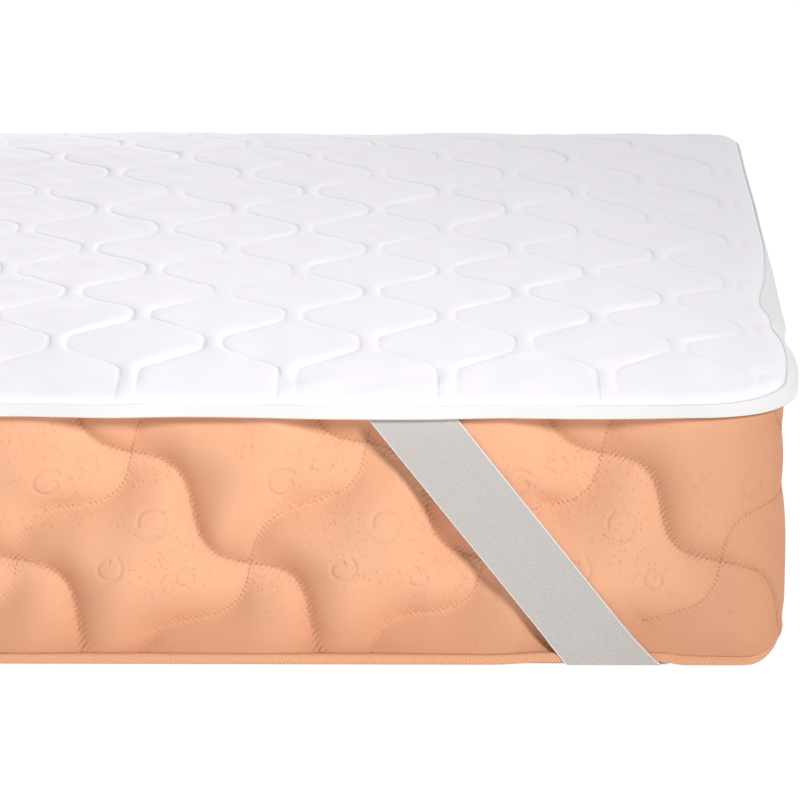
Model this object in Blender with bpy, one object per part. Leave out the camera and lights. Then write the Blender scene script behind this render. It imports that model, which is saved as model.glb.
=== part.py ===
"""Mattress topper, held by four corner straps, on the single mattress it is cut for.

Metres, +Z up. X runs along the long side of the mattress, the front face looks to -Y, and the
origin lies on the floor under the middle of the mattress. Every sewn piece is a closed solid of
its own: the quilted pad, the binding folded round its edge, four elastic straps, the mattress
and the tape sewn round the bottom edge of the mattress.
"""
import math

import bmesh
import bpy
import numpy as np

# Mattress
MATTRESS_LENGTH = 2.000
MATTRESS_WIDTH = 0.900
MATTRESS_HEIGHT = 0.204
MATTRESS_EDGE_DROP = 0.012
CROWN_REACH = 0.190
TOP_EDGE_ROUND = 0.010
BOTTOM_CORNER_RADIUS = 0.035
TOP_CORNER_RADIUS = 0.064
CROWN_CORNER_RADIUS = 0.070
LIFT_ROUND = 0.025
LIFT_CUT = 0.003
LIFT_ALONG_END = (0.040, 0.085)

# Tape round the bottom edge of the mattress
TAPE_HEIGHT = 0.0083
TAPE_DEPTH = 0.0077
TAPE_BOTTOM = 0.0022
TAPE_ROUND = 0.0036
TAPE_GAP = 0.0003

# Quilting of the pad: seams swing between columns of meeting points and run in pairs there
COLUMN_STEP = 0.0568
COLUMN_ORIGIN_X = 0.7567
ROW_STEP = 0.06995
FIRST_ROW_Y = -0.4134
ROW_COUNT = 13
SEAM_PAIR_GAP = 0.010
FIRST_SEAM = -31
LAST_SEAM = 3
MEETING_HALF_LENGTH = 0.015

# Pad and the binding folded round its edge
SEAM_LOFT = 0.0080
PUFF_LOFT = 0.0055
PAD_REST_GAP = 0.0009
OVERHANG = 0.009
BINDING_CORNER_RADIUS = 0.072
BINDING_TOP = 0.1975
BINDING_BOTTOM = 0.1875
BINDING_INNER_TOP = 0.1914
BINDING_THICKNESS = 0.0070
BINDING_LEAF = 0.0009
BINDING_GAP = 0.0004
RIM_STEPS = (0.0, 0.006, 0.018)
RIM_SHOULDER = 0.009
END_LEAN = 0.90
END_PULL_IN = 0.0025
BACK_SPREAD = 0.015
BACK_RIGHT_RADIUS = 0.031
STRAP_PULL = 0.003

# Elastic straps
STRAP_WIDTH = 0.050
STRAP_THICKNESS = 0.0012
STRAP_GAP = 0.0004
STRAP_BEND = 0.0040
STRAP_FLOOR = 0.0004
STRAP_SIDE_SLOPE = 0.778
STRAP_UNDER_SLOPE = 1.0
STRAP_CORNER_DISTANCE = 0.1236
STRAP_TOP = 0.1900
STRAP_RELIEF = 0.0020

# Corner name, side of the corner in X and in Y, reach of the end strap out to the leaning edge
CORNERS = (
    ("front_right", 1.0, -1.0, 0.0018),
    ("front_left", -1.0, -1.0, 0.0038),
    ("back_right", 1.0, 1.0, 0.0110),
    ("back_left", -1.0, 1.0, 0.0038),
)

# Material name, colour and roughness
FINISHES = {
    "quilted_white_fabric": ((0.86, 0.85, 0.88), 0.85),
    "white_binding_tape": ((0.92, 0.91, 0.93), 0.80),
    "grey_elastic": ((0.60, 0.57, 0.53), 0.90),
    "peach_mattress_fabric": ((0.88, 0.46, 0.28), 0.75),
    "ribbed_peach_tape": ((0.82, 0.40, 0.22), 0.70),
}


def smoothstep(value):
    """Ease from 0 to 1."""
    t = np.clip(value, 0.0, 1.0)
    return t * t * (3.0 - 2.0 * t)


def clear_scene():
    """Remove everything that is already in the scene."""
    for item in list(bpy.data.objects):
        bpy.data.objects.remove(item, do_unlink=True)


def make_material(name):
    """Make a finish from its row in the table."""
    colour, roughness = FINISHES[name]
    material = bpy.data.materials.new(name)
    material.use_nodes = True
    shader = material.node_tree.nodes["Principled BSDF"]
    shader.inputs["Base Color"].default_value = (*colour, 1.0)
    shader.inputs["Roughness"].default_value = roughness
    return material


def add_object(name, points, faces, finish=None):
    """Add a closed mesh under its own name, faces outward, rounded parts shaded smooth."""
    mesh = bpy.data.meshes.new(name)
    mesh.from_pydata([tuple(point) for point in points], [], faces)
    work = bmesh.new()
    work.from_mesh(mesh)
    bmesh.ops.recalc_face_normals(work, faces=work.faces)
    work.to_mesh(mesh)
    work.free()
    mesh.shade_smooth()
    mesh.set_sharp_from_angle(angle=math.radians(35.0))
    item = bpy.data.objects.new(name, mesh)
    bpy.context.scene.collection.objects.link(item)
    if finish is not None:
        mesh.materials.append(make_material(finish))
    return item


def ring_strip(first, second, count):
    """Quads between two rings of the same length, given by their first vertex numbers."""
    faces = []
    for k in range(count):
        nxt = (k + 1) % count
        faces.append((first + k, first + nxt, second + nxt, second + k))
    return faces


def loft(rings):
    """Close a row of equal rings into one solid with a flat cap at each end."""
    count = len(rings[0])
    points = np.concatenate(rings)
    faces = []
    for level in range(len(rings) - 1):
        faces.extend(ring_strip(level * count, (level + 1) * count, count))
    faces.append(tuple(range(count - 1, -1, -1)))
    last = (len(rings) - 1) * count
    faces.append(tuple(range(last, last + count)))
    return points, faces


def sweep_section(loops):
    """Close section loops, one per station, into a ring that runs all the way round."""
    size = len(loops[0])
    points = np.concatenate(loops)
    faces = []
    for station in range(len(loops)):
        here = station * size
        there = ((station + 1) % len(loops)) * size
        faces.extend(ring_strip(here, there, size))
    return points, faces


def with_height(plan, height):
    """Join plan positions and heights into 3-D points."""
    return np.column_stack((plan, np.broadcast_to(height, len(plan))))


# Mattress and its tape

def mattress_plan(inset, radius):
    """Rounded rectangle inside the mattress outline, closer points near the corners."""
    half_x = MATTRESS_LENGTH / 2 - inset
    half_y = MATTRESS_WIDTH / 2 - inset
    beyond = np.array([0.090, 0.060, 0.035, 0.015])
    angles = np.radians(np.linspace(0.0, 90.0, 9))
    arc = np.column_stack((np.sin(angles), 1.0 - np.cos(angles))) * radius - (radius, 0.0)
    before = np.column_stack((-radius - beyond, np.zeros(4)))
    after = np.column_stack((np.zeros(4), radius + beyond[::-1]))
    corner = np.concatenate((before, arc, after))
    plan = []
    for turn_x, turn_y, swap in ((1, -1, False), (1, 1, True), (-1, 1, False), (-1, -1, True)):
        local = corner[::-1] if swap else corner
        plan.append(np.column_stack((turn_x * (half_x + local[:, 0]),
                                     turn_y * (half_y - local[:, 1]))))
    return np.concatenate(plan)


def corner_lift():
    """Lift of the bottom edge at each plan point: an arc along the sides, slow along the ends."""
    plan = np.abs(mattress_plan(0.0, BOTTOM_CORNER_RADIUS))
    near_end = MATTRESS_LENGTH / 2 - plan[:, 0]
    near_side = MATTRESS_WIDTH / 2 - plan[:, 1]
    reach = np.clip(LIFT_ROUND - near_end, 0.0, LIFT_ROUND - LIFT_CUT)
    arc = LIFT_ROUND - np.sqrt(LIFT_ROUND ** 2 - reach ** 2)
    start, stop = LIFT_ALONG_END
    along_end = smoothstep((stop - near_side) / (stop - start))
    return arc * along_end


def crown_height(inset):
    """Height of the softly crowned mattress top at a distance in from its outline."""
    rise = np.clip((inset - TOP_EDGE_ROUND) / CROWN_REACH, 0.0, 1.0)
    return MATTRESS_HEIGHT - MATTRESS_EDGE_DROP * (1.0 - rise) ** 2


def mattress_rings():
    """Rings from the middle of the base up the sides to the middle of the top."""
    notch = TAPE_DEPTH + TAPE_GAP
    notch_top = TAPE_BOTTOM + TAPE_HEIGHT + TAPE_GAP
    side_top = MATTRESS_HEIGHT - MATTRESS_EDGE_DROP - TOP_EDGE_ROUND
    low_radius = BOTTOM_CORNER_RADIUS
    notch_radius = low_radius - notch
    # Columns: inset, corner radius, height, share of the corner lift
    table = [
        (0.070, 0.020, 0.0, 0.0),
        (notch, notch_radius, 0.0, 1.0),
        (notch, notch_radius, notch_top, 1.0),
        (0.0, low_radius, notch_top, 1.0),
        (0.0, 0.042, 0.060, 0.25),
        (0.0, TOP_CORNER_RADIUS, side_top, 0.0),
    ]
    for degrees in (35.0, 65.0, 90.0):
        turn = math.radians(degrees)
        inset = TOP_EDGE_ROUND * (1.0 - math.cos(turn))
        radius = TOP_CORNER_RADIUS + (CROWN_CORNER_RADIUS - TOP_CORNER_RADIUS) * degrees / 90.0
        table.append((inset, radius, side_top + TOP_EDGE_ROUND * math.sin(turn), 0.0))
    for inset in (0.050, 0.100, 0.200):
        table.append((inset, CROWN_CORNER_RADIUS, crown_height(inset), 0.0))
    rings = []
    for inset, radius, height, share in table:
        plan = mattress_plan(inset, radius)
        rings.append(with_height(plan, height + share * corner_lift()))
    return rings


def strap_relief():
    """Four flat wedges under the corners, where the straps pass below the mattress."""
    reach = STRAP_CORNER_DISTANCE + STRAP_WIDTH / math.sqrt(2.0) + 0.004
    points = []
    faces = []
    for _, side_x, side_y, _ in CORNERS:
        first = len(points)
        for height in (-0.010, STRAP_RELIEF):
            for along, across in ((-0.020, -0.020), (reach + 0.020, -0.020), (-0.020, reach + 0.020)):
                points.append((side_x * (MATTRESS_LENGTH / 2 - along),
                               side_y * (MATTRESS_WIDTH / 2 - across), height))
        faces.extend(ring_strip(first, first + 3, 3))
        faces.append((first + 2, first + 1, first))
        faces.append((first + 3, first + 4, first + 5))
    cutter = add_object("strap_relief_cutter", points, faces)
    cutter.hide_render = True
    cutter.display_type = "WIRE"
    return cutter


def build_mattress():
    """Mattress with a softly crowned top and shallow reliefs for the straps."""
    points, faces = loft(mattress_rings())
    body = add_object("mattress_body", points, faces, "peach_mattress_fabric")
    cut = body.modifiers.new("strap_relief", "BOOLEAN")
    cut.operation = "DIFFERENCE"
    cut.solver = "EXACT"
    cut.object = strap_relief()


def build_tape():
    """Ribbed tape sewn round the bottom edge of the mattress."""
    top = TAPE_BOTTOM + TAPE_HEIGHT
    middle = TAPE_BOTTOM + TAPE_ROUND
    # Columns: inset from the side of the mattress, height
    section = [(0.0, top), (0.0, middle)]
    for degrees in (30.0, 60.0, 90.0):
        turn = math.radians(degrees)
        section.append((TAPE_ROUND * (1.0 - math.cos(turn)), middle - TAPE_ROUND * math.sin(turn)))
    section.append((TAPE_DEPTH, TAPE_BOTTOM))
    section.append((TAPE_DEPTH, top))
    rings = []
    for inset, height in section:
        plan = mattress_plan(inset, BOTTOM_CORNER_RADIUS - inset)
        rings.append(with_height(plan, height + corner_lift()))
    loops = np.stack(rings, axis=1)
    points, faces = sweep_section(list(loops))
    add_object("mattress_tape", points, faces, "ribbed_peach_tape")


# Quilted pad and its binding

PAD_INSET = BINDING_LEAF + BINDING_GAP
PAD_HALF_X = MATTRESS_LENGTH / 2 + OVERHANG - PAD_INSET
PAD_HALF_Y = MATTRESS_WIDTH / 2 + OVERHANG - PAD_INSET
PAD_CORNER_RADIUS = BINDING_CORNER_RADIUS - PAD_INSET
PAD_EDGE_TOP = BINDING_TOP + 0.0005
PAD_EDGE_BOTTOM = BINDING_BOTTOM + PAD_INSET
PAD_UNDERSIDE = MATTRESS_HEIGHT - MATTRESS_EDGE_DROP + PAD_REST_GAP


def corner_parts(x, y, half_x, half_y, radius):
    """How far each point lies into its corner square, along X and along Y."""
    into_x = np.clip(np.abs(x) - (half_x - radius), 0.0, None)
    into_y = np.clip(np.abs(y) - (half_y - radius), 0.0, None)
    return into_x, into_y


def pad_radius(x, y):
    """Corner radius of the pad near each point, small at the back right where it's drawn out."""
    return np.where((x > 0.0) & (y > 0.0), BACK_RIGHT_RADIUS, PAD_CORNER_RADIUS)


def round_corners(x, y, half_x, half_y, radius):
    """Turn a plain rectangle into a rounded one, each corner square into a quarter disc."""
    into_x, into_y = corner_parts(x, y, half_x, half_y, radius)
    reach = np.hypot(into_x, into_y)
    scale = np.where(reach > 0.0, np.maximum(into_x, into_y) / np.maximum(reach, 1e-9), 1.0)
    new_x = np.sign(x) * (np.abs(x) - into_x * (1.0 - scale))
    new_y = np.sign(y) * (np.abs(y) - into_y * (1.0 - scale))
    return new_x, new_y


def drape(points):
    """Lean the edge outward at both ends, and let it spread at the back of the right end."""
    x, y, z = points.T
    side = smoothstep((np.abs(x) - 0.900) / 0.080)
    lean = END_LEAN * side * np.clip(PAD_EDGE_TOP - z, 0.0, None)
    ramp = smoothstep((np.abs(x) - 0.880) / 0.120)
    spread = BACK_SPREAD * np.clip((y + 0.35) / 0.80, 0.0, 1.0)
    pull = STRAP_PULL * np.exp(-((y + 0.25) / 0.045) ** 2)
    grow = np.where(x > 0.0, spread - pull, 0.0) - END_PULL_IN
    return np.column_stack((x + np.sign(x) * (lean + ramp * grow), y, z))


def seam_swing(y):
    """Sideways swing of the seams from -1 to 1, straight before the first and past the last row."""
    held = np.clip(y, FIRST_ROW_Y, FIRST_ROW_Y + (ROW_COUNT - 1) * ROW_STEP)
    return np.tanh(np.cos(np.pi * (held - FIRST_ROW_Y) / ROW_STEP)) / math.tanh(1.0)


def seam_line(index, y):
    """X position of one seam; neighbouring seams mirror each other."""
    middle = COLUMN_ORIGIN_X + (index + 0.5) * COLUMN_STEP
    toward = -1.0 if index % 2 == 0 else 1.0
    return middle + toward * 0.5 * (COLUMN_STEP - SEAM_PAIR_GAP) * seam_swing(y)


def pad_rows():
    """Y positions of the grid rows: two at each row of meeting points, one between rows."""
    edge = [PAD_HALF_Y - step for step in RIM_STEPS]
    rows = [-value for value in edge]
    last = edge[-1] - 0.006
    for number in range(ROW_COUNT):
        meeting = FIRST_ROW_Y + number * ROW_STEP
        rows.append(meeting - MEETING_HALF_LENGTH)
        rows.append(min(meeting + MEETING_HALF_LENGTH, last))
        if number < ROW_COUNT - 1:
            rows.append(meeting + ROW_STEP / 2)
    rows.extend(edge[::-1])
    return np.array(rows)


def pad_columns(rows):
    """X positions and puff of the grid columns: seams, the crests between them and the ends."""
    edge = [np.full_like(rows, PAD_HALF_X - step) for step in RIM_STEPS]
    limit = PAD_HALF_X - RIM_STEPS[-1] - 0.005
    seams = [np.clip(seam_line(index, rows), -limit, limit)
             for index in range(FIRST_SEAM, LAST_SEAM + 1)]
    lines = [-edge[2]] + seams + [edge[2]]
    end_puff = np.full_like(rows, 0.5)
    columns = [-edge[0], -edge[1], -edge[2]]
    puffs = [end_puff, end_puff, end_puff]
    for left, right in zip(lines[:-1], lines[1:]):
        width = (right - left) / (2.0 * COLUMN_STEP - SEAM_PAIR_GAP)
        columns.append((left + right) / 2)
        puffs.append(width ** 0.6)
        columns.append(right)
        puffs.append(np.zeros_like(rows))
    puffs[-1] = end_puff
    columns.extend([edge[1], edge[0]])
    puffs.extend([end_puff, end_puff])
    return np.stack(columns, axis=1), np.stack(puffs, axis=1)


def pad_top():
    """Grid of the quilted top, sewn low along the seams and full between them."""
    rows = pad_rows()
    x, puff = pad_columns(rows)
    y = np.broadcast_to(rows[:, None], x.shape)
    inward = np.minimum(PAD_HALF_X - np.abs(x), PAD_HALF_Y - np.abs(y))
    lofted = crown_height(inward - (PAD_HALF_X - MATTRESS_LENGTH / 2)) + SEAM_LOFT + PUFF_LOFT * puff
    shoulder = 1.0 - np.exp(-inward / RIM_SHOULDER)
    z = PAD_EDGE_TOP + (lofted - PAD_EDGE_TOP) * shoulder
    round_x, round_y = round_corners(x, y, PAD_HALF_X, PAD_HALF_Y, pad_radius(x, y))
    return x, y, np.stack((round_x, round_y, z), axis=-1)


def rim_order(row_count, column_count):
    """Grid positions of the rim, once round from the front left corner."""
    front = [(0, c) for c in range(column_count - 1)]
    right = [(r, column_count - 1) for r in range(row_count - 1)]
    back = [(row_count - 1, c) for c in range(column_count - 1, 0, -1)]
    left = [(r, 0) for r in range(row_count - 1, 0, -1)]
    return front + right + back + left


def rim_stations():
    """Flat rim positions, rounded rim positions and outward directions, in rim order."""
    x, y, grid = pad_top()
    order = rim_order(*x.shape)
    flat = np.array([(x[r, c], y[r, c]) for r, c in order])
    edge = np.array([grid[r, c, :2] for r, c in order])
    radius = pad_radius(flat[:, 0], flat[:, 1])
    into = np.column_stack(corner_parts(flat[:, 0], flat[:, 1], PAD_HALF_X, PAD_HALF_Y, radius))
    outward = np.sign(flat) * into
    outward /= np.linalg.norm(outward, axis=1, keepdims=True)
    return flat, edge, outward


def underside_ring(flat, inset):
    """Ring of the underside, resting just above the crowned top of the mattress."""
    half_x = MATTRESS_LENGTH / 2 - inset
    half_y = MATTRESS_WIDTH / 2 - inset
    x = flat[:, 0] * half_x / PAD_HALF_X
    y = flat[:, 1] * half_y / PAD_HALF_Y
    ring_x, ring_y = round_corners(x, y, half_x, half_y, CROWN_CORNER_RADIUS)
    height = crown_height(inset) + PAD_REST_GAP
    return with_height(np.column_stack((ring_x, ring_y)), height)


def halving_strip(first, second, count):
    """Faces between a ring and a ring with every other point of it."""
    faces = []
    for k in range(0, count, 2):
        here = second + k // 2
        there = second + (k // 2 + 1) % (count // 2)
        faces.append((first + k, first + k + 1, here))
        faces.append((first + k + 1, first + (k + 2) % count, there, here))
    return faces


def build_pad():
    """Quilted pad: puffed top, turned down edge, and an underside that follows the mattress."""
    x, _, grid = pad_top()
    row_count, column_count = x.shape
    flat, edge, outward = rim_stations()
    count = len(flat)
    faces = []
    for r in range(row_count - 1):
        for c in range(column_count - 1):
            here = r * column_count + c
            faces.append((here, here + 1, here + column_count + 1, here + column_count))
    rim = [r * column_count + c for r, c in rim_order(row_count, column_count)]
    edge_thickness = BINDING_THICKNESS - 2 * PAD_INSET
    outer_low = with_height(edge, PAD_EDGE_BOTTOM)
    inner_low = with_height(edge - outward * edge_thickness, PAD_EDGE_BOTTOM)
    inner_high = with_height(edge - outward * edge_thickness, PAD_UNDERSIDE)
    top = grid.reshape(-1, 3)
    draped = drape(np.concatenate((top, outer_low, inner_low, inner_high)))
    under = [underside_ring(flat[::2], inset) for inset in (0.010, 0.050, 0.100, 0.200)]
    points = np.concatenate([draped] + under)
    start = len(top)
    for k in range(count):
        nxt = (k + 1) % count
        faces.append((rim[nxt], rim[k], start + k, start + nxt))
    faces.extend(ring_strip(start, start + count, count))
    faces.extend(ring_strip(start + count, start + 2 * count, count))
    faces.extend(halving_strip(start + 2 * count, start + 3 * count, count))
    level = start + 3 * count
    half = count // 2
    for _ in range(3):
        faces.extend(ring_strip(level, level + half, half))
        level += half
    faces.append(tuple(range(level, level + half)))
    add_object("topper_pad", points, faces, "quilted_white_fabric")


def build_binding():
    """Binding folded round the edge of the pad, a tall leaf outside and a short leaf inside."""
    flat, edge, outward = rim_stations()
    near_end = np.abs(flat[:, 0]) > 0.85
    every_fourth = np.arange(len(flat)) % 4 == 0
    kept = near_end | every_fourth
    edge = edge[kept]
    outward = outward[kept]
    chamfer = 0.0008
    inner = BINDING_THICKNESS
    web_top = BINDING_BOTTOM + BINDING_LEAF
    # Columns: distance in from the outer face, height
    section = (
        (0.0, BINDING_TOP),
        (0.0, BINDING_BOTTOM + chamfer),
        (chamfer, BINDING_BOTTOM),
        (inner - chamfer, BINDING_BOTTOM),
        (inner, BINDING_BOTTOM + chamfer),
        (inner, BINDING_INNER_TOP),
        (inner - BINDING_LEAF, BINDING_INNER_TOP),
        (inner - BINDING_LEAF, web_top),
        (BINDING_LEAF, web_top),
        (BINDING_LEAF, BINDING_TOP),
    )
    rings = []
    for depth, height in section:
        plan = edge + outward * (PAD_INSET - depth)
        rings.append(drape(with_height(plan, height)))
    loops = np.stack(rings, axis=1)
    points, faces = sweep_section(list(loops))
    add_object("edge_binding", points, faces, "white_binding_tape")


# Elastic straps

def strap_profile(travel, thickness):
    """Distance in from the side face and height, for a travel along the strap's inner face."""
    quarter = STRAP_BEND * math.pi / 4
    low = STRAP_FLOOR + STRAP_THICKNESS
    radius = STRAP_BEND + thickness
    turn = np.clip((quarter - travel) / STRAP_BEND, 0.0, math.pi / 2)
    depth = STRAP_BEND - STRAP_GAP - radius * np.cos(turn) + np.clip(-travel - quarter, 0.0, None)
    height = low + STRAP_BEND - radius * np.sin(turn) + np.clip(travel - quarter, 0.0, None)
    return depth, height


def strap_half(reach):
    """Cross rows of half a strap, from the top of one side to under the corner.

    Each row holds four points as (distance from the corner along this side, distance in from
    this side, height): near and far edge of the inner face, then far and near of the outer face.
    """
    quarter = STRAP_BEND * math.pi / 4
    bend = np.linspace(quarter, -quarter, 6)
    side = np.array([STRAP_TOP, 0.178, 0.166, 0.150, 0.130, 0.080, 0.035, 0.026, 0.018, 0.010])
    under = np.array([-0.009, -0.016, -0.024, -0.034])
    travel = np.concatenate((side, bend, under))
    fine = np.linspace(travel[0], travel[-1], 800)
    change = STRAP_UNDER_SLOPE - STRAP_SIDE_SLOPE
    slope_fine = STRAP_SIDE_SLOPE + change * smoothstep((0.030 - fine) / 0.050)
    steps = np.diff(fine) * (slope_fine[1:] + slope_fine[:-1]) / 2
    along_fine = np.concatenate(([0.0], np.cumsum(steps)))
    at_zero = np.interp(0.0, fine[::-1], along_fine[::-1])
    along = np.interp(travel, fine[::-1], along_fine[::-1]) - at_zero + STRAP_CORNER_DISTANCE
    slope = np.interp(travel, fine[::-1], slope_fine[::-1])
    half_cut = STRAP_WIDTH / 2 * np.hypot(1.0, slope)
    rows = []
    out = reach * smoothstep((travel - 0.120) / 0.070)
    inner_depth, inner_height = strap_profile(travel, 0.0)
    outer_depth, outer_height = strap_profile(travel, STRAP_THICKNESS)
    for k in range(len(travel)):
        near = along[k] - half_cut[k]
        far = along[k] + half_cut[k]
        rows.append(np.array([
            (near, inner_depth[k] - out[k], inner_height[k]),
            (far, inner_depth[k] - out[k], inner_height[k]),
            (far, outer_depth[k] - out[k], outer_height[k]),
            (near, outer_depth[k] - out[k], outer_height[k]),
        ]))
    return rows


def build_strap(corner, side_x, side_y, reach):
    """One strap: down the long side, slantwise under the corner, up the short side."""
    long_side = strap_half(0.0)
    short_side = [row[:, [1, 0, 2]] for row in strap_half(reach)]
    last = long_side[-1]
    reach_under = last[:, 0] + last[:, 1]
    middle = np.column_stack((reach_under / 2, reach_under / 2, last[:, 2]))
    rows = long_side + [middle] + short_side[::-1]
    rings = []
    for row in rows:
        x = side_x * (MATTRESS_LENGTH / 2 - row[:, 0])
        y = side_y * (MATTRESS_WIDTH / 2 - row[:, 1])
        rings.append(np.column_stack((x, y, row[:, 2])))
    points, faces = loft(rings)
    add_object("corner_strap_" + corner, points, faces, "grey_elastic")


def main():
    """Build every piece of the topper and the mattress under it."""
    clear_scene()
    build_mattress()
    build_tape()
    build_pad()
    build_binding()
    for corner, side_x, side_y, reach in CORNERS:
        build_strap(corner, side_x, side_y, reach)


main()
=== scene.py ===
"""Looks of the mattress topper and the mattress it lies on: cloth, seams, stitches and light."""
import logging
import math
from dataclasses import dataclass, field
from enum import Enum

import bpy
import numpy as np
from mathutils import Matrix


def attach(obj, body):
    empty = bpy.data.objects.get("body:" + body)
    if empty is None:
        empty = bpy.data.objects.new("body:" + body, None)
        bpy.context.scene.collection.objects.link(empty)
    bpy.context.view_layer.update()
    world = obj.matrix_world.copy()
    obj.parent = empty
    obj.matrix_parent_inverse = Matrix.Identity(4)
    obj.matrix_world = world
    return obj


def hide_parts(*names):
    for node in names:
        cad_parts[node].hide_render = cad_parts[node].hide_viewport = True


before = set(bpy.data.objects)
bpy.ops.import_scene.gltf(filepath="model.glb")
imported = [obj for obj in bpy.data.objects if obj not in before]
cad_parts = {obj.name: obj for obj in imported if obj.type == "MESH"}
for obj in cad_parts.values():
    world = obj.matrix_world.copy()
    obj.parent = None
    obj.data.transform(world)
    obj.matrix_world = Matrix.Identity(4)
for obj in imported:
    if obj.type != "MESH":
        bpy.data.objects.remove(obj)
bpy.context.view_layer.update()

logging.basicConfig(level=logging.INFO, format="%(message)s")
LOG = logging.getLogger("topper")

Array = np.ndarray
EULER = 2.718
WHITE = (1.0, 1.0, 1.0, 1.0)


class Slot(Enum):
    """Material slots of the record."""

    PAD = "topper_pad"
    BINDING = "edge_binding"
    STRAP = "elastic_strap"
    MATTRESS = "mattress_body"
    TAPE = "mattress_tape"


# Small numeric helpers

def smoothstep(value: Array) -> Array:
    """Ease from 0 to 1."""
    t = np.clip(value, 0.0, 1.0)
    return t * t * (3.0 - 2.0 * t)


def bump_at(value: Array, middle: float, spread: float) -> Array:
    """Bell curve of height 1."""
    return np.exp(-((value - middle) / spread) ** 2)


def ripple(x: Array, y: Array, size: float, seed: int, count: int = 18) -> Array:
    """Soft irregular noise of about unit height: a sum of plane waves near one wavelength."""
    rng = np.random.default_rng(seed)
    angle = rng.uniform(0.0, 2.0 * math.pi, count)
    number = 2.0 * math.pi / (size * rng.uniform(0.7, 1.6, count))
    phase = rng.uniform(0.0, 2.0 * math.pi, count)
    total = np.zeros(np.broadcast(x, y).shape)
    for a, k, p in zip(angle, number, phase):
        total += np.cos(k * (x * math.cos(a) + y * math.sin(a)) + p)
    return total * math.sqrt(2.0 / count)


def distance_along(line: Array) -> Array:
    """Length of a line from its first point to each of its points."""
    step = np.linalg.norm(np.diff(line, axis=0), axis=1)
    return np.concatenate(([0.0], np.cumsum(step)))


# Mesh helpers

def grid_quads(rows: int, columns: int, first: int = 0, close_columns: bool = False) -> Array:
    """Quads of a grid stored row by row, if asked closed from its last column to its first."""
    r = np.arange(rows - 1)[:, None]
    c = np.arange(columns if close_columns else columns - 1)[None, :]
    nxt = (c + 1) % columns
    quads = np.stack([r * columns + c, r * columns + nxt,
                      (r + 1) * columns + nxt, (r + 1) * columns + c], axis=-1)
    return quads.reshape(-1, 4) + first


def once_round(number: Array) -> Array:
    """Numbers along the four sides of a grid, once round from its first corner."""
    return np.concatenate((number[0, :-1], number[:-1, -1], number[-1, :0:-1], number[:0:-1, 0]))


def ring_quads(first: int, second: int, count: int) -> Array:
    """Quads between two rings of equal length."""
    k = np.arange(count)
    nxt = (k + 1) % count
    return np.column_stack((first + k, first + nxt, second + nxt, second + k))


def thinning_faces(first: int, second: int, count: int, ratio: int) -> list[Array]:
    """Triangles and quads from a ring of count points to one with every ratio-th point of it."""
    k = np.arange(0, count, ratio)
    here = second + k // ratio
    there = second + (k // ratio + 1) % (count // ratio)
    fans = [np.column_stack((first + k + step, first + k + step + 1, here))
            for step in range(ratio - 1)]
    last = np.column_stack((first + k + ratio - 1, first + (k + ratio) % count, there, here))
    return fans + [last]


def signed_volume(points: Array, faces: list[Array]) -> float:
    """Volume inside the faces, negative when they look inward."""
    total = 0.0
    for block in faces:
        a = points[block[:, 0]]
        for k in range(1, block.shape[1] - 1):
            total += np.einsum("ij,ij->i", a, np.cross(points[block[:, k]],
                                                      points[block[:, k + 1]])).sum()
    return total / 6.0


def add_piece(name: str, points: Array, faces: list[Array], uv: Array | None = None,
              values: dict[str, Array] | None = None) -> bpy.types.Object:
    """Add a smooth mesh piece to the scene.

    Args:
        name: name of the object.
        points: vertex positions, one row each.
        faces: blocks of faces, each block an array with one face a row.
        uv: UV position of each vertex.
        values: further numbers for the material, one for each vertex.

    Returns:
        The new object, at the origin, unturned and unscaled.
    """
    points = np.ascontiguousarray(points, dtype=float)
    if signed_volume(points, faces) < 0.0:
        faces = [block[:, ::-1] for block in faces]
    mesh = bpy.data.meshes.new(name)
    mesh.vertices.add(len(points))
    mesh.vertices.foreach_set("co", points.ravel())
    corners = np.concatenate([block.ravel() for block in faces]).astype(np.int32)
    sizes = np.concatenate([np.full(len(block), block.shape[1]) for block in faces])
    starts = np.concatenate(([0], np.cumsum(sizes)[:-1])).astype(np.int32)
    mesh.loops.add(len(corners))
    mesh.loops.foreach_set("vertex_index", corners)
    mesh.polygons.add(len(sizes))
    mesh.polygons.foreach_set("loop_start", starts)
    mesh.update(calc_edges=True)
    if uv is not None:
        layer = mesh.uv_layers.new(name="UVMap")
        layer.data.foreach_set("uv", np.asarray(uv, dtype=float)[corners].ravel())
    for key, numbers in (values or {}).items():
        attribute = mesh.attributes.new(key, "FLOAT", "POINT")
        attribute.data.foreach_set("value", np.asarray(numbers, dtype=float).ravel())
    mesh.shade_smooth()
    item = bpy.data.objects.new(name, mesh)
    bpy.context.scene.collection.objects.link(item)
    triangles = int((sizes - 2).sum())
    LOG.info("%s: %d triangles", name, triangles)
    return item


def dress(item: bpy.types.Object, material: bpy.types.Material,
          nodes: tuple[str, ...] = ()) -> bpy.types.Object:
    """Give a piece its material, hang it under the root and hide the solids it stands for."""
    item.data.materials.append(material)
    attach(item, "root")
    if nodes:
        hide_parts(*nodes)
    return item


# Materials

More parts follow.
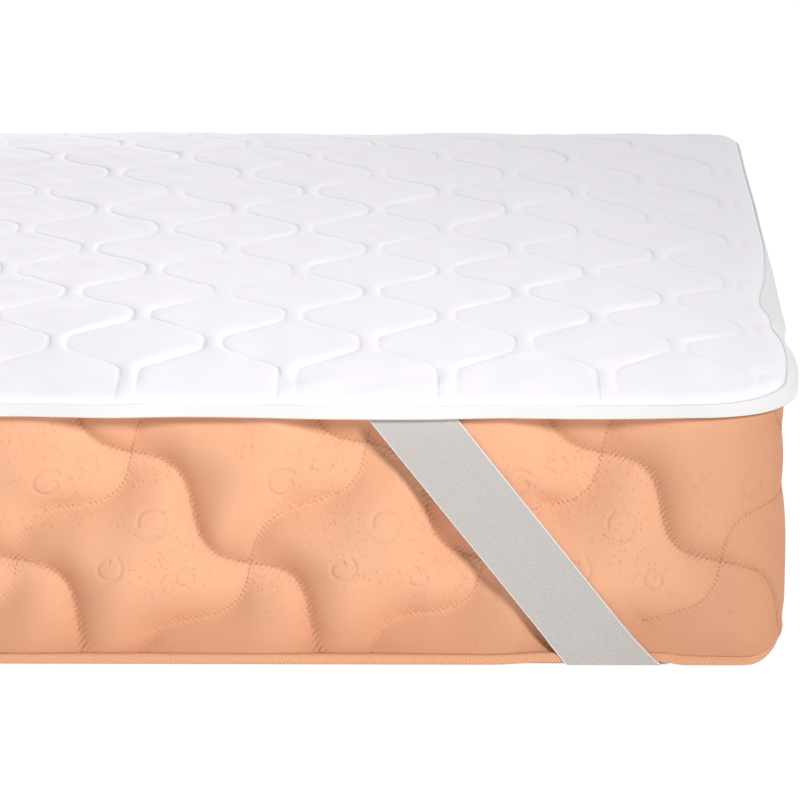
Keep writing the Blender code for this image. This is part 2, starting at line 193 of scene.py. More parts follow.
class Tree:
    """Short hand for building a node tree around one Principled shader."""

    def __init__(self, name: str) -> None:
        """Start a material of this name."""
        self.material = bpy.data.materials.new(name)
        self.material.use_nodes = True
        self.nodes = self.material.node_tree.nodes
        self.links = self.material.node_tree.links
        self.shader = self.nodes["Principled BSDF"]

    def put(self, socket: bpy.types.NodeSocket, value: object) -> None:
        """Link a socket to another one, or set it to a constant."""
        if isinstance(value, bpy.types.NodeSocket):
            self.links.new(value, socket)
        else:
            socket.default_value = value

    def math(self, operation: str, *values: object) -> bpy.types.NodeSocket:
        """One math node."""
        node = self.nodes.new("ShaderNodeMath")
        node.operation = operation
        for socket, value in zip(node.inputs, values):
            self.put(socket, value)
        return node.outputs[0]

    def fading(self, value: object, rate: float) -> bpy.types.NodeSocket:
        """Exponential fall from 1 where the value is 0."""
        return self.math("POWER", EULER, self.math("MULTIPLY", value, -rate))

    def held(self, value: object, low: float, high: float) -> bpy.types.NodeSocket:
        """A number kept between two limits."""
        return self.math("MINIMUM", self.math("MAXIMUM", value, low), high)

    def coordinate(self, output: str) -> bpy.types.NodeSocket:
        """Object or UV coordinates."""
        return self.nodes.new("ShaderNodeTexCoord").outputs[output]

    def value(self, name: str) -> bpy.types.NodeSocket:
        """A number stored on the mesh."""
        node = self.nodes.new("ShaderNodeAttribute")
        node.attribute_name = name
        return node.outputs["Fac"]

    def scaled(self, vector: bpy.types.NodeSocket, scale: tuple[float, float, float]
               ) -> bpy.types.NodeSocket:
        """Coordinates multiplied."""
        node = self.nodes.new("ShaderNodeMapping")
        self.put(node.inputs["Vector"], vector)
        node.inputs["Scale"].default_value = scale
        return node.outputs[0]

    def noise(self, vector: bpy.types.NodeSocket, scale: float, detail: float = 2.0
              ) -> bpy.types.NodeSocket:
        """Noise from 0 to 1."""
        node = self.nodes.new("ShaderNodeTexNoise")
        self.put(node.inputs["Vector"], vector)
        node.inputs["Scale"].default_value = scale
        node.inputs["Detail"].default_value = detail
        return node.outputs["Fac"]

    def split(self, vector: bpy.types.NodeSocket) -> tuple[bpy.types.NodeSocket, ...]:
        """X, Y and Z of a vector."""
        node = self.nodes.new("ShaderNodeSeparateXYZ")
        self.put(node.inputs[0], vector)
        return node.outputs[0], node.outputs[1], node.outputs[2]

    def blend(self, share: object, first: tuple[float, float, float],
              second: tuple[float, float, float]) -> bpy.types.NodeSocket:
        """Mix of two colours."""
        node = self.nodes.new("ShaderNodeMix")
        node.data_type = "RGBA"
        self.put(node.inputs[0], share)
        node.inputs[6].default_value = (*first, 1.0)
        node.inputs[7].default_value = (*second, 1.0)
        return node.outputs[2]

    def relief(self, height: bpy.types.NodeSocket, depth: float) -> None:
        """Bump from a height given in units of depth metres."""
        node = self.nodes.new("ShaderNodeBump")
        node.inputs["Strength"].default_value = 1.0
        node.inputs["Distance"].default_value = depth
        self.put(node.inputs["Height"], height)
        self.put(self.shader.inputs["Normal"], node.outputs[0])

    def surface(self, colour: object, roughness: float, sheen: float = 0.0) -> None:
        """Set the main values of the shader."""
        if isinstance(colour, tuple):
            self.shader.inputs["Base Color"].default_value = (*colour, 1.0)
        else:
            self.put(self.shader.inputs["Base Color"], colour)
        self.shader.inputs["Roughness"].default_value = roughness
        self.shader.inputs["Sheen Weight"].default_value = sheen
        self.shader.inputs["Sheen Roughness"].default_value = 0.5
        self.shader.inputs["Specular IOR Level"].default_value = 0.25


@dataclass(frozen=True)
class QuiltedCloth:
    """Fine white cloth, gathered where the quilting seams pull it in."""

    colour: tuple[float, float, float] = (0.875, 0.842, 0.900)
    gather_size: float = 0.010
    gather_depth: float = 0.0006
    gather_fade: float = 110.0
    gather_stretch: float = 18.0
    weave_scale: float = 900.0
    weave_share: float = 0.05

    def build(self) -> bpy.types.Material:
        """Weave everywhere, gathers across the seams that fade away from them."""
        tree = Tree("quilted_cloth")
        place = tree.coordinate("Object")
        away, along, _ = tree.split(tree.coordinate("UV"))
        fade = tree.fading(away, self.gather_fade)
        combine = tree.nodes.new("ShaderNodeCombineXYZ")
        tree.put(combine.inputs[0], tree.math("MULTIPLY", away, self.gather_stretch))
        tree.put(combine.inputs[1], tree.math("MULTIPLY", along, 1.0 / self.gather_size))
        gathers = tree.math("MULTIPLY", tree.noise(combine.outputs[0], 1.0, 1.0), fade)
        weave = tree.math("MULTIPLY", tree.noise(place, self.weave_scale, 1.0), self.weave_share)
        tree.relief(tree.math("ADD", gathers, weave), self.gather_depth)
        tree.surface(self.colour, 0.85, sheen=0.15)
        return tree.material


FINE_WEAVE = 1200.0
FINE_WEAVE_DEPTH = 0.00008


@dataclass(frozen=True)
class PlainCloth:
    """Plain smooth cloth or thread of one colour."""

    name: str
    colour: tuple[float, float, float]
    roughness: float = 0.8

    def build(self) -> bpy.types.Material:
        """One colour with a very fine weave."""
        tree = Tree(self.name)
        tree.relief(tree.noise(tree.coordinate("Object"), FINE_WEAVE, 1.0), FINE_WEAVE_DEPTH)
        tree.surface(self.colour, self.roughness, sheen=0.1)
        return tree.material


@dataclass(frozen=True)
class BindingCloth:
    """White binding, sewn down on the pad, with a thin line of painted shade along its top edge."""

    colour: tuple[float, float, float] = (0.786, 0.770, 0.768)
    # Colour of the painted shade line
    line: tuple[float, float, float] = (0.50, 0.49, 0.48)
    painted_line_from: float = 0.1968
    painted_line_rate: float = 1600.0
    # The painted shade line is plainest towards the front right corner
    plain_from: tuple[float, float] = (0.80, -0.34)
    plain_rate: tuple[float, float] = (6.0, 20.0)
    faint: float = 0.18
    plain: float = 0.70

    def build(self) -> bpy.types.Material:
        """UV is (along, height) in metres; the painted shade line lies along the upper edge."""
        tree = Tree("binding_cloth")
        _, height, _ = tree.split(tree.coordinate("UV"))
        # Painted shade along the top of the binding, at its crease against the pad
        above = tree.math("MULTIPLY", tree.math("SUBTRACT", height, self.painted_line_from), self.painted_line_rate)
        share = tree.held(above, 0.0, 1.0)
        x, y, _ = tree.split(tree.coordinate("Object"))
        rate_x, rate_y = self.plain_rate
        ahead = tree.math("MULTIPLY", tree.math("SUBTRACT", x, self.plain_from[0]), rate_x)
        aside = tree.math("MULTIPLY", tree.math("SUBTRACT", self.plain_from[1], y), rate_y)
        near = tree.math("MINIMUM", tree.math("MINIMUM", ahead, aside), self.plain)
        share = tree.math("MULTIPLY", share, tree.math("MAXIMUM", near, self.faint))
        tree.relief(tree.noise(tree.coordinate("Object"), FINE_WEAVE, 1.0), FINE_WEAVE_DEPTH)
        tree.surface(tree.blend(share, self.colour, self.line), 0.7, sheen=0.1)
        return tree.material


@dataclass(frozen=True)
class Elastic:
    """Grey elastic, ribbed along its length, with pale selvages."""

    colour: tuple[float, float, float] = (0.527, 0.497, 0.478)
    edge: tuple[float, float, float] = (0.74, 0.73, 0.71)
    rib_pitch: float = 0.0016
    pick_pitch: float = 0.0011
    rib_depth: float = 0.0002
    edge_from: float = 0.0242

    def build(self) -> bpy.types.Material:
        """Ribs run along the strap; UV is (across, along) in metres."""
        tree = Tree("ribbed_elastic")
        across, along, _ = tree.split(tree.coordinate("UV"))
        rib = tree.math("SINE", tree.math("MULTIPLY", across, 2.0 * math.pi / self.rib_pitch))
        cross = tree.math("SINE", tree.math("MULTIPLY", along, 2.0 * math.pi / self.pick_pitch))
        height = tree.math("ADD", tree.math("MULTIPLY", rib, 0.5),
                           tree.math("MULTIPLY", cross, 0.2))
        tree.relief(height, self.rib_depth)
        rim = tree.math("GREATER_THAN", tree.math("ABSOLUTE", across), self.edge_from)
        tree.surface(tree.blend(rim, self.colour, self.edge), 0.9)
        return tree.material


@dataclass(frozen=True)
class Ticking:
    """Peach mattress ticking with a low sheen, small woven dashes and gathers at the seams."""

    colour: tuple[float, float, float] = (0.785, 0.409, 0.245)
    # Colour of the woven dashes and of the painted shade
    dark: tuple[float, float, float] = (0.56, 0.24, 0.13)
    depth: float = 0.0013
    weave_scale: float = 500.0
    pucker_pitch: float = 0.0034
    pucker_fade: float = 420.0
    gather_fade: float = 130.0
    gather_scale: tuple[float, float] = (25.0, 170.0)
    gather_share: float = 0.65
    cell: float = 0.166
    curl_tightness: float = 0.10
    curl_sharpness: float = 620.0
    curl_share: float = 0.50
    dash_scale: float = 360.0
    dash_size: float = 0.20
    dash_share: float = 0.20
    dash_dark: float = 0.38
    patch_scale: float = 20.0
    patch_from: float = 0.49
    # Painted shade low on the border, darker towards the tape
    painted_low_shade_from: float = 0.062
    painted_low_shade_rate: float = 20.0
    painted_low_shade: float = 0.56
    # Columns: place along the cell, height, radius, turn at the open end, direction
    curls: tuple[tuple[float, float, float, float, float], ...] = (
        (0.106, 0.134, 0.0125, 0.6, 1.0),
        (0.134, 0.147, 0.0090, 2.9, -1.0),
        (0.012, 0.106, 0.0145, 3.6, 1.0),
        (0.148, 0.072, 0.0110, 5.2, -1.0),
        (0.037, 0.064, 0.0085, 1.4, 1.0),
    )

    def puckers(self, tree: Tree, family: str, depth: float) -> bpy.types.NodeSocket:
        """Irregular gathers and a close row of small puckers across one family of seams."""
        away, along = tree.value("away_" + family), tree.value("along_" + family)
        wide = tree.fading(away, self.gather_fade)
        close = tree.fading(away, self.pucker_fade)
        combine = tree.nodes.new("ShaderNodeCombineXYZ")
        tree.put(combine.inputs[0], tree.math("MULTIPLY", away, self.gather_scale[0]))
        tree.put(combine.inputs[1], tree.math("MULTIPLY", along, self.gather_scale[1]))
        gathers = tree.math("MULTIPLY", tree.noise(combine.outputs[0], 1.0, 1.0), wide)
        gathers = tree.math("MULTIPLY", gathers, self.gather_share)
        row = tree.math("SINE", tree.math("MULTIPLY", along, 2.0 * math.pi / self.pucker_pitch))
        row = tree.math("MULTIPLY", tree.math("MULTIPLY", row, close), depth)
        return tree.math("ADD", gathers, row)

    def curl(self, tree: Tree, run: bpy.types.NodeSocket, height: bpy.types.NodeSocket,
             row: tuple[float, float, float, float, float]) -> bpy.types.NodeSocket:
        """One open spiral: how close a point is to it, from 0 to 1."""
        across, up, radius, start, direction = row
        ahead = tree.math("SUBTRACT", run, across)
        above = tree.math("SUBTRACT", height, up)
        turn = tree.math("MULTIPLY", tree.math("ARCTAN2", above, ahead), direction)
        turn = tree.math("FLOORED_MODULO", tree.math("SUBTRACT", turn, start), 2.0 * math.pi)
        spiral = tree.math("MULTIPLY", tree.fading(turn, self.curl_tightness), radius)
        square = tree.math("ADD", tree.math("MULTIPLY", ahead, ahead),
                           tree.math("MULTIPLY", above, above))
        off = tree.math("SUBTRACT", tree.math("SQRT", square), spiral)
        off = tree.math("MULTIPLY", off, self.curl_sharpness)
        near = tree.fading(tree.math("MULTIPLY", off, off), 1.0)
        ends = tree.math("MULTIPLY", turn, tree.math("SUBTRACT", 2.0 * math.pi, turn))
        return tree.math("MULTIPLY", near, tree.math("MINIMUM", ends, 1.0))

    def build(self) -> bpy.types.Material:
        """Puckers at the seams, curls pressed in between, specks in patches, and a fine weave.

        Shade is painted into the colour: it is darker low down, at the corners and above the
        falling seams.
        """
        tree = Tree("peach_ticking")
        place = tree.coordinate("Object")
        height = tree.math("MULTIPLY", tree.noise(place, self.weave_scale, 2.0), 0.10)
        height = tree.math("ADD", height, self.puckers(tree, "a", 0.42))
        height = tree.math("ADD", height, self.puckers(tree, "b", 0.18))
        run = tree.math("MULTIPLY", tree.math("FRACT", tree.value("run")), self.cell)
        _, _, level = tree.split(place)
        for row in self.curls:
            press = self.curl(tree, run, level, row)
            height = tree.math("SUBTRACT", height, tree.math("MULTIPLY", press, self.curl_share))
        dash = tree.nodes.new("ShaderNodeTexVoronoi")
        dash.feature = "F1"
        tree.put(dash.inputs["Vector"], tree.scaled(place, (1.0, 1.0, 0.55)))
        dash.inputs["Scale"].default_value = self.dash_scale
        patch = tree.noise(place, self.patch_scale, 1.0)
        patch = tree.math("GREATER_THAN", patch, self.patch_from)
        speck = tree.math("LESS_THAN", dash.outputs["Distance"], self.dash_size)
        speck = tree.math("MULTIPLY", speck, patch)
        height = tree.math("SUBTRACT", height, tree.math("MULTIPLY", speck, self.dash_share))
        tree.relief(height, self.depth)
        # Painted shade: darker towards the bottom of the border
        low = tree.math("MULTIPLY", tree.math("SUBTRACT", self.painted_low_shade_from, level), self.painted_low_shade_rate)
        low = tree.math("MULTIPLY", tree.held(low, 0.0, 1.0), self.painted_low_shade)
        share = tree.math("MAXIMUM", tree.math("MULTIPLY", speck, self.dash_dark), low)
        # Painted shade carried on the mesh, above the falling seams and round the corners
        share = tree.math("MAXIMUM", share, tree.value("shade"))
        tree.surface(tree.blend(share, self.colour, self.dark), 0.8)
        return tree.material


@dataclass(frozen=True)
class CordedTape:
    """Peach tape with slanted cord ribs and painted shade in the grooves between them."""

    colour: tuple[float, float, float] = (0.785, 0.405, 0.225)
    painted_groove_shade: tuple[float, float, float] = (0.74, 0.36, 0.20)
    pitch: float = 0.0026
    lean: float = 0.8
    depth: float = 0.0003

    def build(self) -> bpy.types.Material:
        """UV is (along, across) in metres; the ribs lean over along the tape."""
        tree = Tree("corded_tape")
        along, across, _ = tree.split(tree.coordinate("UV"))
        slant = tree.math("ADD", along, tree.math("MULTIPLY", across, self.lean))
        rib = tree.math("SINE", tree.math("MULTIPLY", slant, 2.0 * math.pi / self.pitch))
        lifted = tree.math("MULTIPLY_ADD", rib, 0.5, 0.5)
        tree.relief(lifted, self.depth)
        # Painted shade: the grooves between the ribs are coloured darker than the ribs
        tree.surface(tree.blend(lifted, self.painted_groove_shade, self.colour), 0.7)
        return tree.material


@dataclass(frozen=True)
class PaleFloor:
    """Floor so bright that it reads as plain white."""

    colour: tuple[float, float, float] = (0.1, 0.1, 0.1)
    glow: float = 0.95

    def build(self) -> bpy.types.Material:
        """White that also glows a little."""
        tree = Tree("pale_floor")
        tree.surface(self.colour, 1.0)
        tree.shader.inputs["Emission Color"].default_value = WHITE
        tree.shader.inputs["Emission Strength"].default_value = self.glow
        return tree.material


# Thread

@dataclass(frozen=True)
class Stitches:
    """Short thread stitches laid along lines as one mesh."""

    length: float = 0.0026
    pitch: float = 0.0036
    width: float = 0.0007
    height: float = 0.0005

    def along(self, line: Array, normal: Array, sideways: float = 0.0
              ) -> tuple[Array, Array] | None:
        """Stitch bodies, eight faces each, spaced evenly along a 3-D line.

        Args:
            line: points of the line, one row each.
            normal: surface normal at each point.
            sideways: slant of each stitch across the line, as a share of its length.

        Returns:
            The points and triangles of the stitches, or None where the line is too short.
        """
        travel = distance_along(line)
        if travel[-1] < 2 * self.pitch:
            return None
        middle = np.arange(self.pitch, travel[-1] - self.pitch / 2, self.pitch)

        def at(where: Array, data: Array) -> Array:
            """Rows of the data at these distances along the line."""
            return np.column_stack([np.interp(where, travel, data[:, k]) for k in range(3)])

        centre = at(middle, line)
        up = at(middle, normal)
        up /= np.linalg.norm(up, axis=1, keepdims=True)
        head = at(middle + self.length / 2, line) - at(middle - self.length / 2, line)
        head /= np.linalg.norm(head, axis=1, keepdims=True)
        side = np.cross(up, head)
        head = head + sideways * side
        head /= np.linalg.norm(head, axis=1, keepdims=True)
        side = np.cross(up, head)
        ends = (centre - head * self.length / 2, centre + head * self.length / 2)
        sides = (centre - side * self.width / 2, centre + side * self.width / 2)
        tips = (centre - up * self.height * 0.6, centre + up * self.height)
        points = np.stack((*ends, *sides, *tips), axis=1).reshape(-1, 3)
        pattern = np.array([[0, 2, 5], [2, 1, 5], [1, 3, 5], [3, 0, 5],
                            [2, 0, 4], [1, 2, 4], [3, 1, 4], [0, 3, 4]])
        base = 6 * np.arange(len(centre))[:, None, None]
        return points, (pattern[None] + base).reshape(-1, 3)


def joined(parts: list[tuple[Array, Array]]) -> tuple[Array, Array]:
    """Several point and face arrays as one."""
    offset = np.cumsum([0] + [len(points) for points, _ in parts[:-1]])
    points = np.concatenate([points for points, _ in parts])
    faces = np.concatenate([faces + start for (_, faces), start in zip(parts, offset)])
    return points, faces


# Topper

@dataclass
class Quilting:
    """Seams that swing between columns of meeting points and run in close pairs there."""

    column_step: float = 0.0568
    column_origin: float = 0.7567
    row_step: float = 0.06995
    first_row: float = -0.4134
    rows: int = 13
    pair_gap: float = 0.010
    meeting_half: float = 0.015
    bend: float = 0.20
    first_seam: int = -31
    last_seam: int = 3
    farthest: float = 0.080

    def swing(self, y: Array) -> Array:
        """Sideways swing from -1 to 1: straight at the meeting rows, slanting between them.

        A triangle wave is cut off at 1 with soft bends, and held beyond the first and last row.
        """
        held = np.clip((y - self.first_row) / self.row_step, 0.0, self.rows - 1.0)
        wave = 2.0 * np.abs(np.mod(held, 2.0) - 1.0) - 1.0
        wave = wave / (1.0 - 2.0 * self.meeting_half / self.row_step)
        return (np.hypot(wave + 1.0, self.bend) - np.hypot(wave - 1.0, self.bend)) / 2.0

    def line(self, index: int, y: Array) -> Array:
        """X of a seam; neighbouring seams mirror each other."""
        middle = self.column_origin + (index + 0.5) * self.column_step
        toward = -1.0 if index % 2 == 0 else 1.0
        return middle + toward * 0.5 * (self.column_step - self.pair_gap) * self.swing(y)

    def nearest(self, x: Array, y: Array) -> tuple[Array, Array, Array]:
        """Distance from the nearest seam to the left and to the right, and the left one's slant."""
        left = np.full(x.shape, self.farthest)
        right = np.full(x.shape, self.farthest)
        slant = np.zeros(x.shape)
        reach = 0.5 * (self.column_step - self.pair_gap)
        slope = reach * (self.swing(y + 0.001) - self.swing(y - 0.001)) / 0.002
        across = 1.0 / np.hypot(1.0, slope)
        for index in range(self.first_seam - 1, self.last_seam + 3):
            gap = (x - self.line(index, y)) * across
            toward = -1.0 if index % 2 == 0 else 1.0
            slant = np.where((gap >= 0.0) & (gap < left), toward * slope * across, slant)
            left = np.where(gap >= 0.0, np.minimum(left, gap), left)
            right = np.where(gap <= 0.0, np.minimum(right, -gap), right)
        return left, right, slant


@dataclass
class TopperShape:
    """Sizes shared by the pad and its binding, and the way both drape over the mattress."""

    half_x: float = 1.0077
    half_y: float = 0.4577
    corner_radius: float = 0.0707
    back_right_radius: float = 0.0300
    crown_radius: float = 0.070
    edge_top: float = 0.198
    edge_bottom: float = 0.1888
    underside: float = 0.1925
    mattress_half_x: float = 1.0
    mattress_half_y: float = 0.45
    mattress_height: float = 0.204
    edge_drop: float = 0.012
    crown_from: float = 0.010
    crown_reach: float = 0.190
    rest_gap: float = 0.0005
    end_lean: float = 0.90
    end_pull_in: float = 0.0025
    back_spread: float = 0.015
    stand_share: float = 0.55
    stand_out: float = 0.0105
    strap_pull: float = 0.0045
    corner_draw: float = 0.008
    edge_waver: float = 0.0006
    edge_rise: float = 0.0005
    crease_depth: float = 0.0030
    edge_roll: float = 0.010

    def crown(self, inset: Array) -> Array:
        """Height of the mattress top at a distance in from its outline."""
        rise = np.clip((inset - self.crown_from) / self.crown_reach, 0.0, 1.0)
        return self.mattress_height - self.edge_drop * (1.0 - rise) ** 2

    def radius(self, x: Array, y: Array) -> Array:
        """Radius of the corner nearest to each point; the back right one is drawn out."""
        return np.where((x > 0.0) & (y > 0.0), self.back_right_radius, self.corner_radius)

    def into_corner(self, x: Array, y: Array) -> tuple[Array, Array]:
        """How far each flat point lies into its corner square."""
        radius = self.radius(x, y)
        into_x = np.clip(np.abs(x) - (self.half_x - radius), 0.0, None)
        into_y = np.clip(np.abs(y) - (self.half_y - radius), 0.0, None)
        return into_x, into_y

    def rounded(self, x: Array, y: Array) -> tuple[Array, Array]:
        """Each corner square turned into a quarter disc."""
        into_x, into_y = self.into_corner(x, y)
        reach = np.hypot(into_x, into_y)
        scale = np.where(reach > 0.0, np.maximum(into_x, into_y) / np.maximum(reach, 1e-9), 1.0)
        new_x = np.sign(x) * (np.abs(x) - into_x * (1.0 - scale))
        new_y = np.sign(y) * (np.abs(y) - into_y * (1.0 - scale))
        return new_x, new_y

    def inward(self, x: Array, y: Array) -> Array:
        """Distance of each plan point in from the outline with its round corners."""
        into_x, into_y = self.into_corner(x, y)
        straight = np.minimum(self.half_x - np.abs(x), self.half_y - np.abs(y))
        turned = self.radius(x, y) - np.hypot(into_x, into_y)
        return np.where((into_x > 0.0) & (into_y > 0.0), turned, straight)

    def drape(self, points: Array) -> Array:
        """Lean the ends outward, spread the back of the right end, and waver the edge softly.

        The right edge stands up steeper towards the back. At the front right corner the strap
        pulls a crease into the edge and the corner in.
        """
        x, y, z = points.T
        side = smoothstep((np.abs(x) - 0.900) / 0.080)
        stand = np.where(x > 0.0, self.stand_share * smoothstep((y + 0.100) / 0.160), 0.0)
        lean = (self.end_lean - stand) * side * np.clip(self.edge_top - z, 0.0, None)
        ramp = smoothstep((np.abs(x) - 0.880) / 0.120)
        spread = self.back_spread * np.clip((y + 0.35) / 0.80, 0.0, 1.0)
        pull = self.strap_pull * bump_at(y, -0.245, 0.030)
        corner = self.corner_draw * smoothstep((-0.320 - y) / 0.110) * smoothstep((x - 0.90) / 0.07)
        grow = np.where(x > 0.0, spread - pull, 0.0) + self.stand_out * stand - self.end_pull_in
        edge = np.maximum(smoothstep((np.abs(x) - 0.95) / 0.05),
                          smoothstep((np.abs(y) - 0.40) / 0.05))
        waver = self.edge_waver * ripple(x, y, 0.11, 5) * edge
        rise = self.edge_rise * ripple(x, y, 0.15, 6) * edge
        crease = np.abs((y + 0.222) + 0.9 * (x - 1.000)) / 1.35
        dip = self.crease_depth * bump_at(crease, 0.0, 0.0055) * smoothstep((x - 0.968) / 0.030)
        roll = self.edge_roll * bump_at(y, -0.160, 0.055) * smoothstep((x - 0.93) / 0.07)
        roll = roll * np.clip(1.0 - (self.edge_top - z) / 0.0105, 0.0, 1.0)
        new_x = x + np.sign(x) * (lean + ramp * grow) - corner - roll
        return np.column_stack((new_x, y + waver, z + rise - dip))


@dataclass
class Pad:
    """Quilted pad, its stitches and the flat grid that the binding follows."""

    quilting: Quilting = field(default_factory=Quilting)
    shape: TopperShape = field(default_factory=TopperShape)
    seam_loft: float = 0.0107
    puff_loft: float = 0.0023
    seam_width: float = 0.0042
    seam_sharpness: float = 1.3
    even_pull: float = 0.62
    slant_pull: float = 0.48
    shoulder: float = 0.0075
    slow_waves: float = 0.14
    quick_waves: float = 0.08
    dimple: float = 0.0003
    edge_rows: tuple[float, ...] = (0.0, 0.0012, 0.003, 0.0055, 0.009, 0.0135)
    edge_reach: float = 0.0185
    row_count: int = 198
    fine_from: float = 0.30
    fine_columns: int = 18
    coarse_columns: int = 7
    end_columns: tuple[int, int] = (22, 40)
    crowding: float = 0.085
    rim_depth: float = 0.0044
    under_insets: tuple[float, ...] = (0.010, 0.05, 0.10, 0.20)
    thread: Stitches = Stitches(length=0.0024, pitch=0.0034, width=0.0006, height=0.0002)

    def rows(self) -> Array:
        """Y of the grid rows, closer at the front and back edge."""
        near = np.array(self.edge_rows)
        inner = self.shape.half_y - self.edge_reach
        middle = np.linspace(-inner, inner, self.row_count)
        return np.concatenate((-self.shape.half_y + near, middle, self.shape.half_y - near[::-1]))

    def grid(self) -> tuple[Array, Array]:
        """Flat grid whose columns follow the seams, spread evenly in the end cells."""
        y = self.rows()
        quilting = self.quilting
        seams = range(quilting.first_seam, quilting.last_seam + 1)
        inner = [quilting.line(index, y) for index in seams]
        edge = np.full_like(y, self.shape.half_x)
        far, near = (np.linspace(0.0, 1.0, count + 1) for count in self.end_columns)
        columns = [-edge + share * (inner[0] + edge) for share in far[:-1]]
        for left, right in zip(inner[:-1], inner[1:]):
            samples = self.fine_columns if right.mean() > self.fine_from else self.coarse_columns
            t = np.linspace(0.0, 1.0, samples + 1)[:-1]
            t = t - self.crowding * np.sin(2.0 * math.pi * t)
            columns.extend(left + share * (right - left) for share in t)
        columns.extend(inner[-1] + share * (edge - inner[-1]) for share in near)
        x = np.stack(columns, axis=1)
        return x, np.broadcast_to(y[:, None], x.shape)

    def height(self, x: Array, y: Array) -> Array:
        """Height of the pad's top over plan points.

        Crown of the mattress + sewn loft + puff between the seams, eased down to the binding
        along the edge. Each seam pulls deeper where it runs to the back right than where it
        runs to the front right. A slow unevenness and small dimples break up the puffs.
        """
        shape = self.shape
        left, right, slant = self.quilting.nearest(x, y)
        pull = self.even_pull + self.slant_pull * np.stack((slant, -slant))
        away = np.stack((left, right)) / self.seam_width
        full = 1.0 - pull * np.exp(-away ** self.seam_sharpness)
        middle = 4.0 * left * right / (left + right + 1e-9) ** 2
        puff = full[0] * full[1] * (0.85 + 0.15 * middle)
        stem = 0.4 + 0.6 * smoothstep((self.shape.half_y - np.abs(y) - 0.010) / 0.040)
        puff = 0.8 + (puff - 0.8) * stem
        inward = shape.inward(x, y)
        uneven = 1.0 + self.slow_waves * ripple(x, y, 0.20, 11)
        uneven = uneven + self.quick_waves * ripple(x, y, 0.06, 12)
        loft = self.seam_loft + self.puff_loft * puff * uneven
        loft = loft + self.dimple * ripple(x, y, 0.035, 13) * np.clip(puff * 2.0, 0.0, 1.0)
        lofted = shape.crown(inward - (shape.half_x - shape.mattress_half_x)) + loft
        share = 1.0 - np.exp(-np.clip(inward, 0.0, None) / self.shoulder)
        return shape.edge_top + (lofted - shape.edge_top) * share

    def surface(self, x: Array, y: Array) -> Array:
        """Top surface over the flat grid, with its corners rounded."""
        round_x, round_y = self.shape.rounded(x, y)
        return np.stack((round_x, round_y, self.height(round_x, round_y)), axis=-1)

    def rim(self, shape_of: tuple[int, int]) -> Array:
        """Grid numbers of the rim, once round from the front left corner."""
        rows, columns = shape_of
        return once_round(np.arange(rows * columns).reshape(rows, columns))

    def stations(self, flat: tuple[Array, Array], top: Array) -> tuple[Array, Array, Array]:
        """Flat rim places, rounded rim places and outward directions."""
        order = self.rim(flat[0].shape)
        place = np.column_stack((flat[0].ravel()[order], flat[1].ravel()[order]))
        edge = top.reshape(-1, 3)[order, :2]
        into = np.column_stack(self.shape.into_corner(place[:, 0], place[:, 1]))
        outward = np.sign(place) * into
        outward = outward / np.linalg.norm(outward, axis=1, keepdims=True)
        return place, edge, outward

    def underside_ring(self, place: Array, inset: float) -> Array:
        """Ring of the underside just above the crowned mattress."""
        shape = self.shape
        half_x = shape.mattress_half_x - inset
        half_y = shape.mattress_half_y - inset
        inner = TopperShape(half_x=half_x, half_y=half_y, corner_radius=shape.crown_radius,
                            back_right_radius=shape.crown_radius)
        x, y = inner.rounded(place[:, 0] * half_x / shape.half_x,
                             place[:, 1] * half_y / shape.half_y)
        height = float(shape.crown(np.array(inset))) + shape.rest_gap
        return np.column_stack((x, y, np.full(len(x), height)))

    def build(self, flat: tuple[Array, Array], top: Array) -> bpy.types.Object:
        """The pad as one closed mesh."""
        rows, columns = flat[0].shape
        order = self.rim((rows, columns))
        place, edge, outward = self.stations(flat, top)
        count = len(order)
        levels = [(0.0, self.shape.edge_bottom), (self.rim_depth, self.shape.edge_bottom),
                  (self.rim_depth, self.shape.underside)]
        rings = [np.column_stack((edge - outward * depth, np.full(count, height)))
                 for depth, height in levels]
        draped = self.shape.drape(np.concatenate([top.reshape(-1, 3)] + rings))
        under = [self.underside_ring(place[::2], inset) for inset in self.under_insets]
        points = np.concatenate([draped] + under)
        start = rows * columns
        k = np.arange(count)
        nxt = (k + 1) % count
        faces = [grid_quads(rows, columns),
                 np.column_stack((order[nxt], order[k], start + k, start + nxt)),
                 ring_quads(start, start + count, count),
                 ring_quads(start + count, start + 2 * count, count)]
        faces += thinning_faces(start + 2 * count, start + 3 * count, count, 2)
        level = start + 3 * count
        half = count // 2
        for _ in self.under_insets[1:]:
            faces.append(ring_quads(level, level + half, half))
            level += half
        faces.append(np.arange(level, level + half)[None, :])
        left, right, _ = self.quilting.nearest(top[..., 0].ravel(), top[..., 1].ravel())
        uv = np.full((len(points), 2), 0.5)
        uv[:start, 0] = np.minimum(left, right)
        uv[:start, 1] = top[..., 1].ravel()
        return add_piece("quilted_pad", points, faces, uv)

    def stitches(self) -> bpy.types.Object:
        """Stitches along every quilting seam, from the front edge to the back edge."""
        y = np.linspace(-self.shape.half_y + 0.004, self.shape.half_y - 0.004, 900)
        parts = []
        for index in range(self.quilting.first_seam, self.quilting.last_seam + 2):
            x = self.quilting.line(index, y)
            kept = np.flatnonzero(self.shape.inward(x, y) > 0.003)
            for block in np.split(kept, np.flatnonzero(np.diff(kept) > 1) + 1):
                if len(block) < 8:
                    continue
                place = np.column_stack((x[block], y[block], self.height(x[block], y[block])))
                upward = np.tile((0.0, 0.0, 1.0), (len(block), 1))
                part = self.thread.along(self.shape.drape(place), upward)
                if part is not None:
                    parts.append(part)
        points, faces = joined(parts)
        return add_piece("pad_stitches", points, [faces])


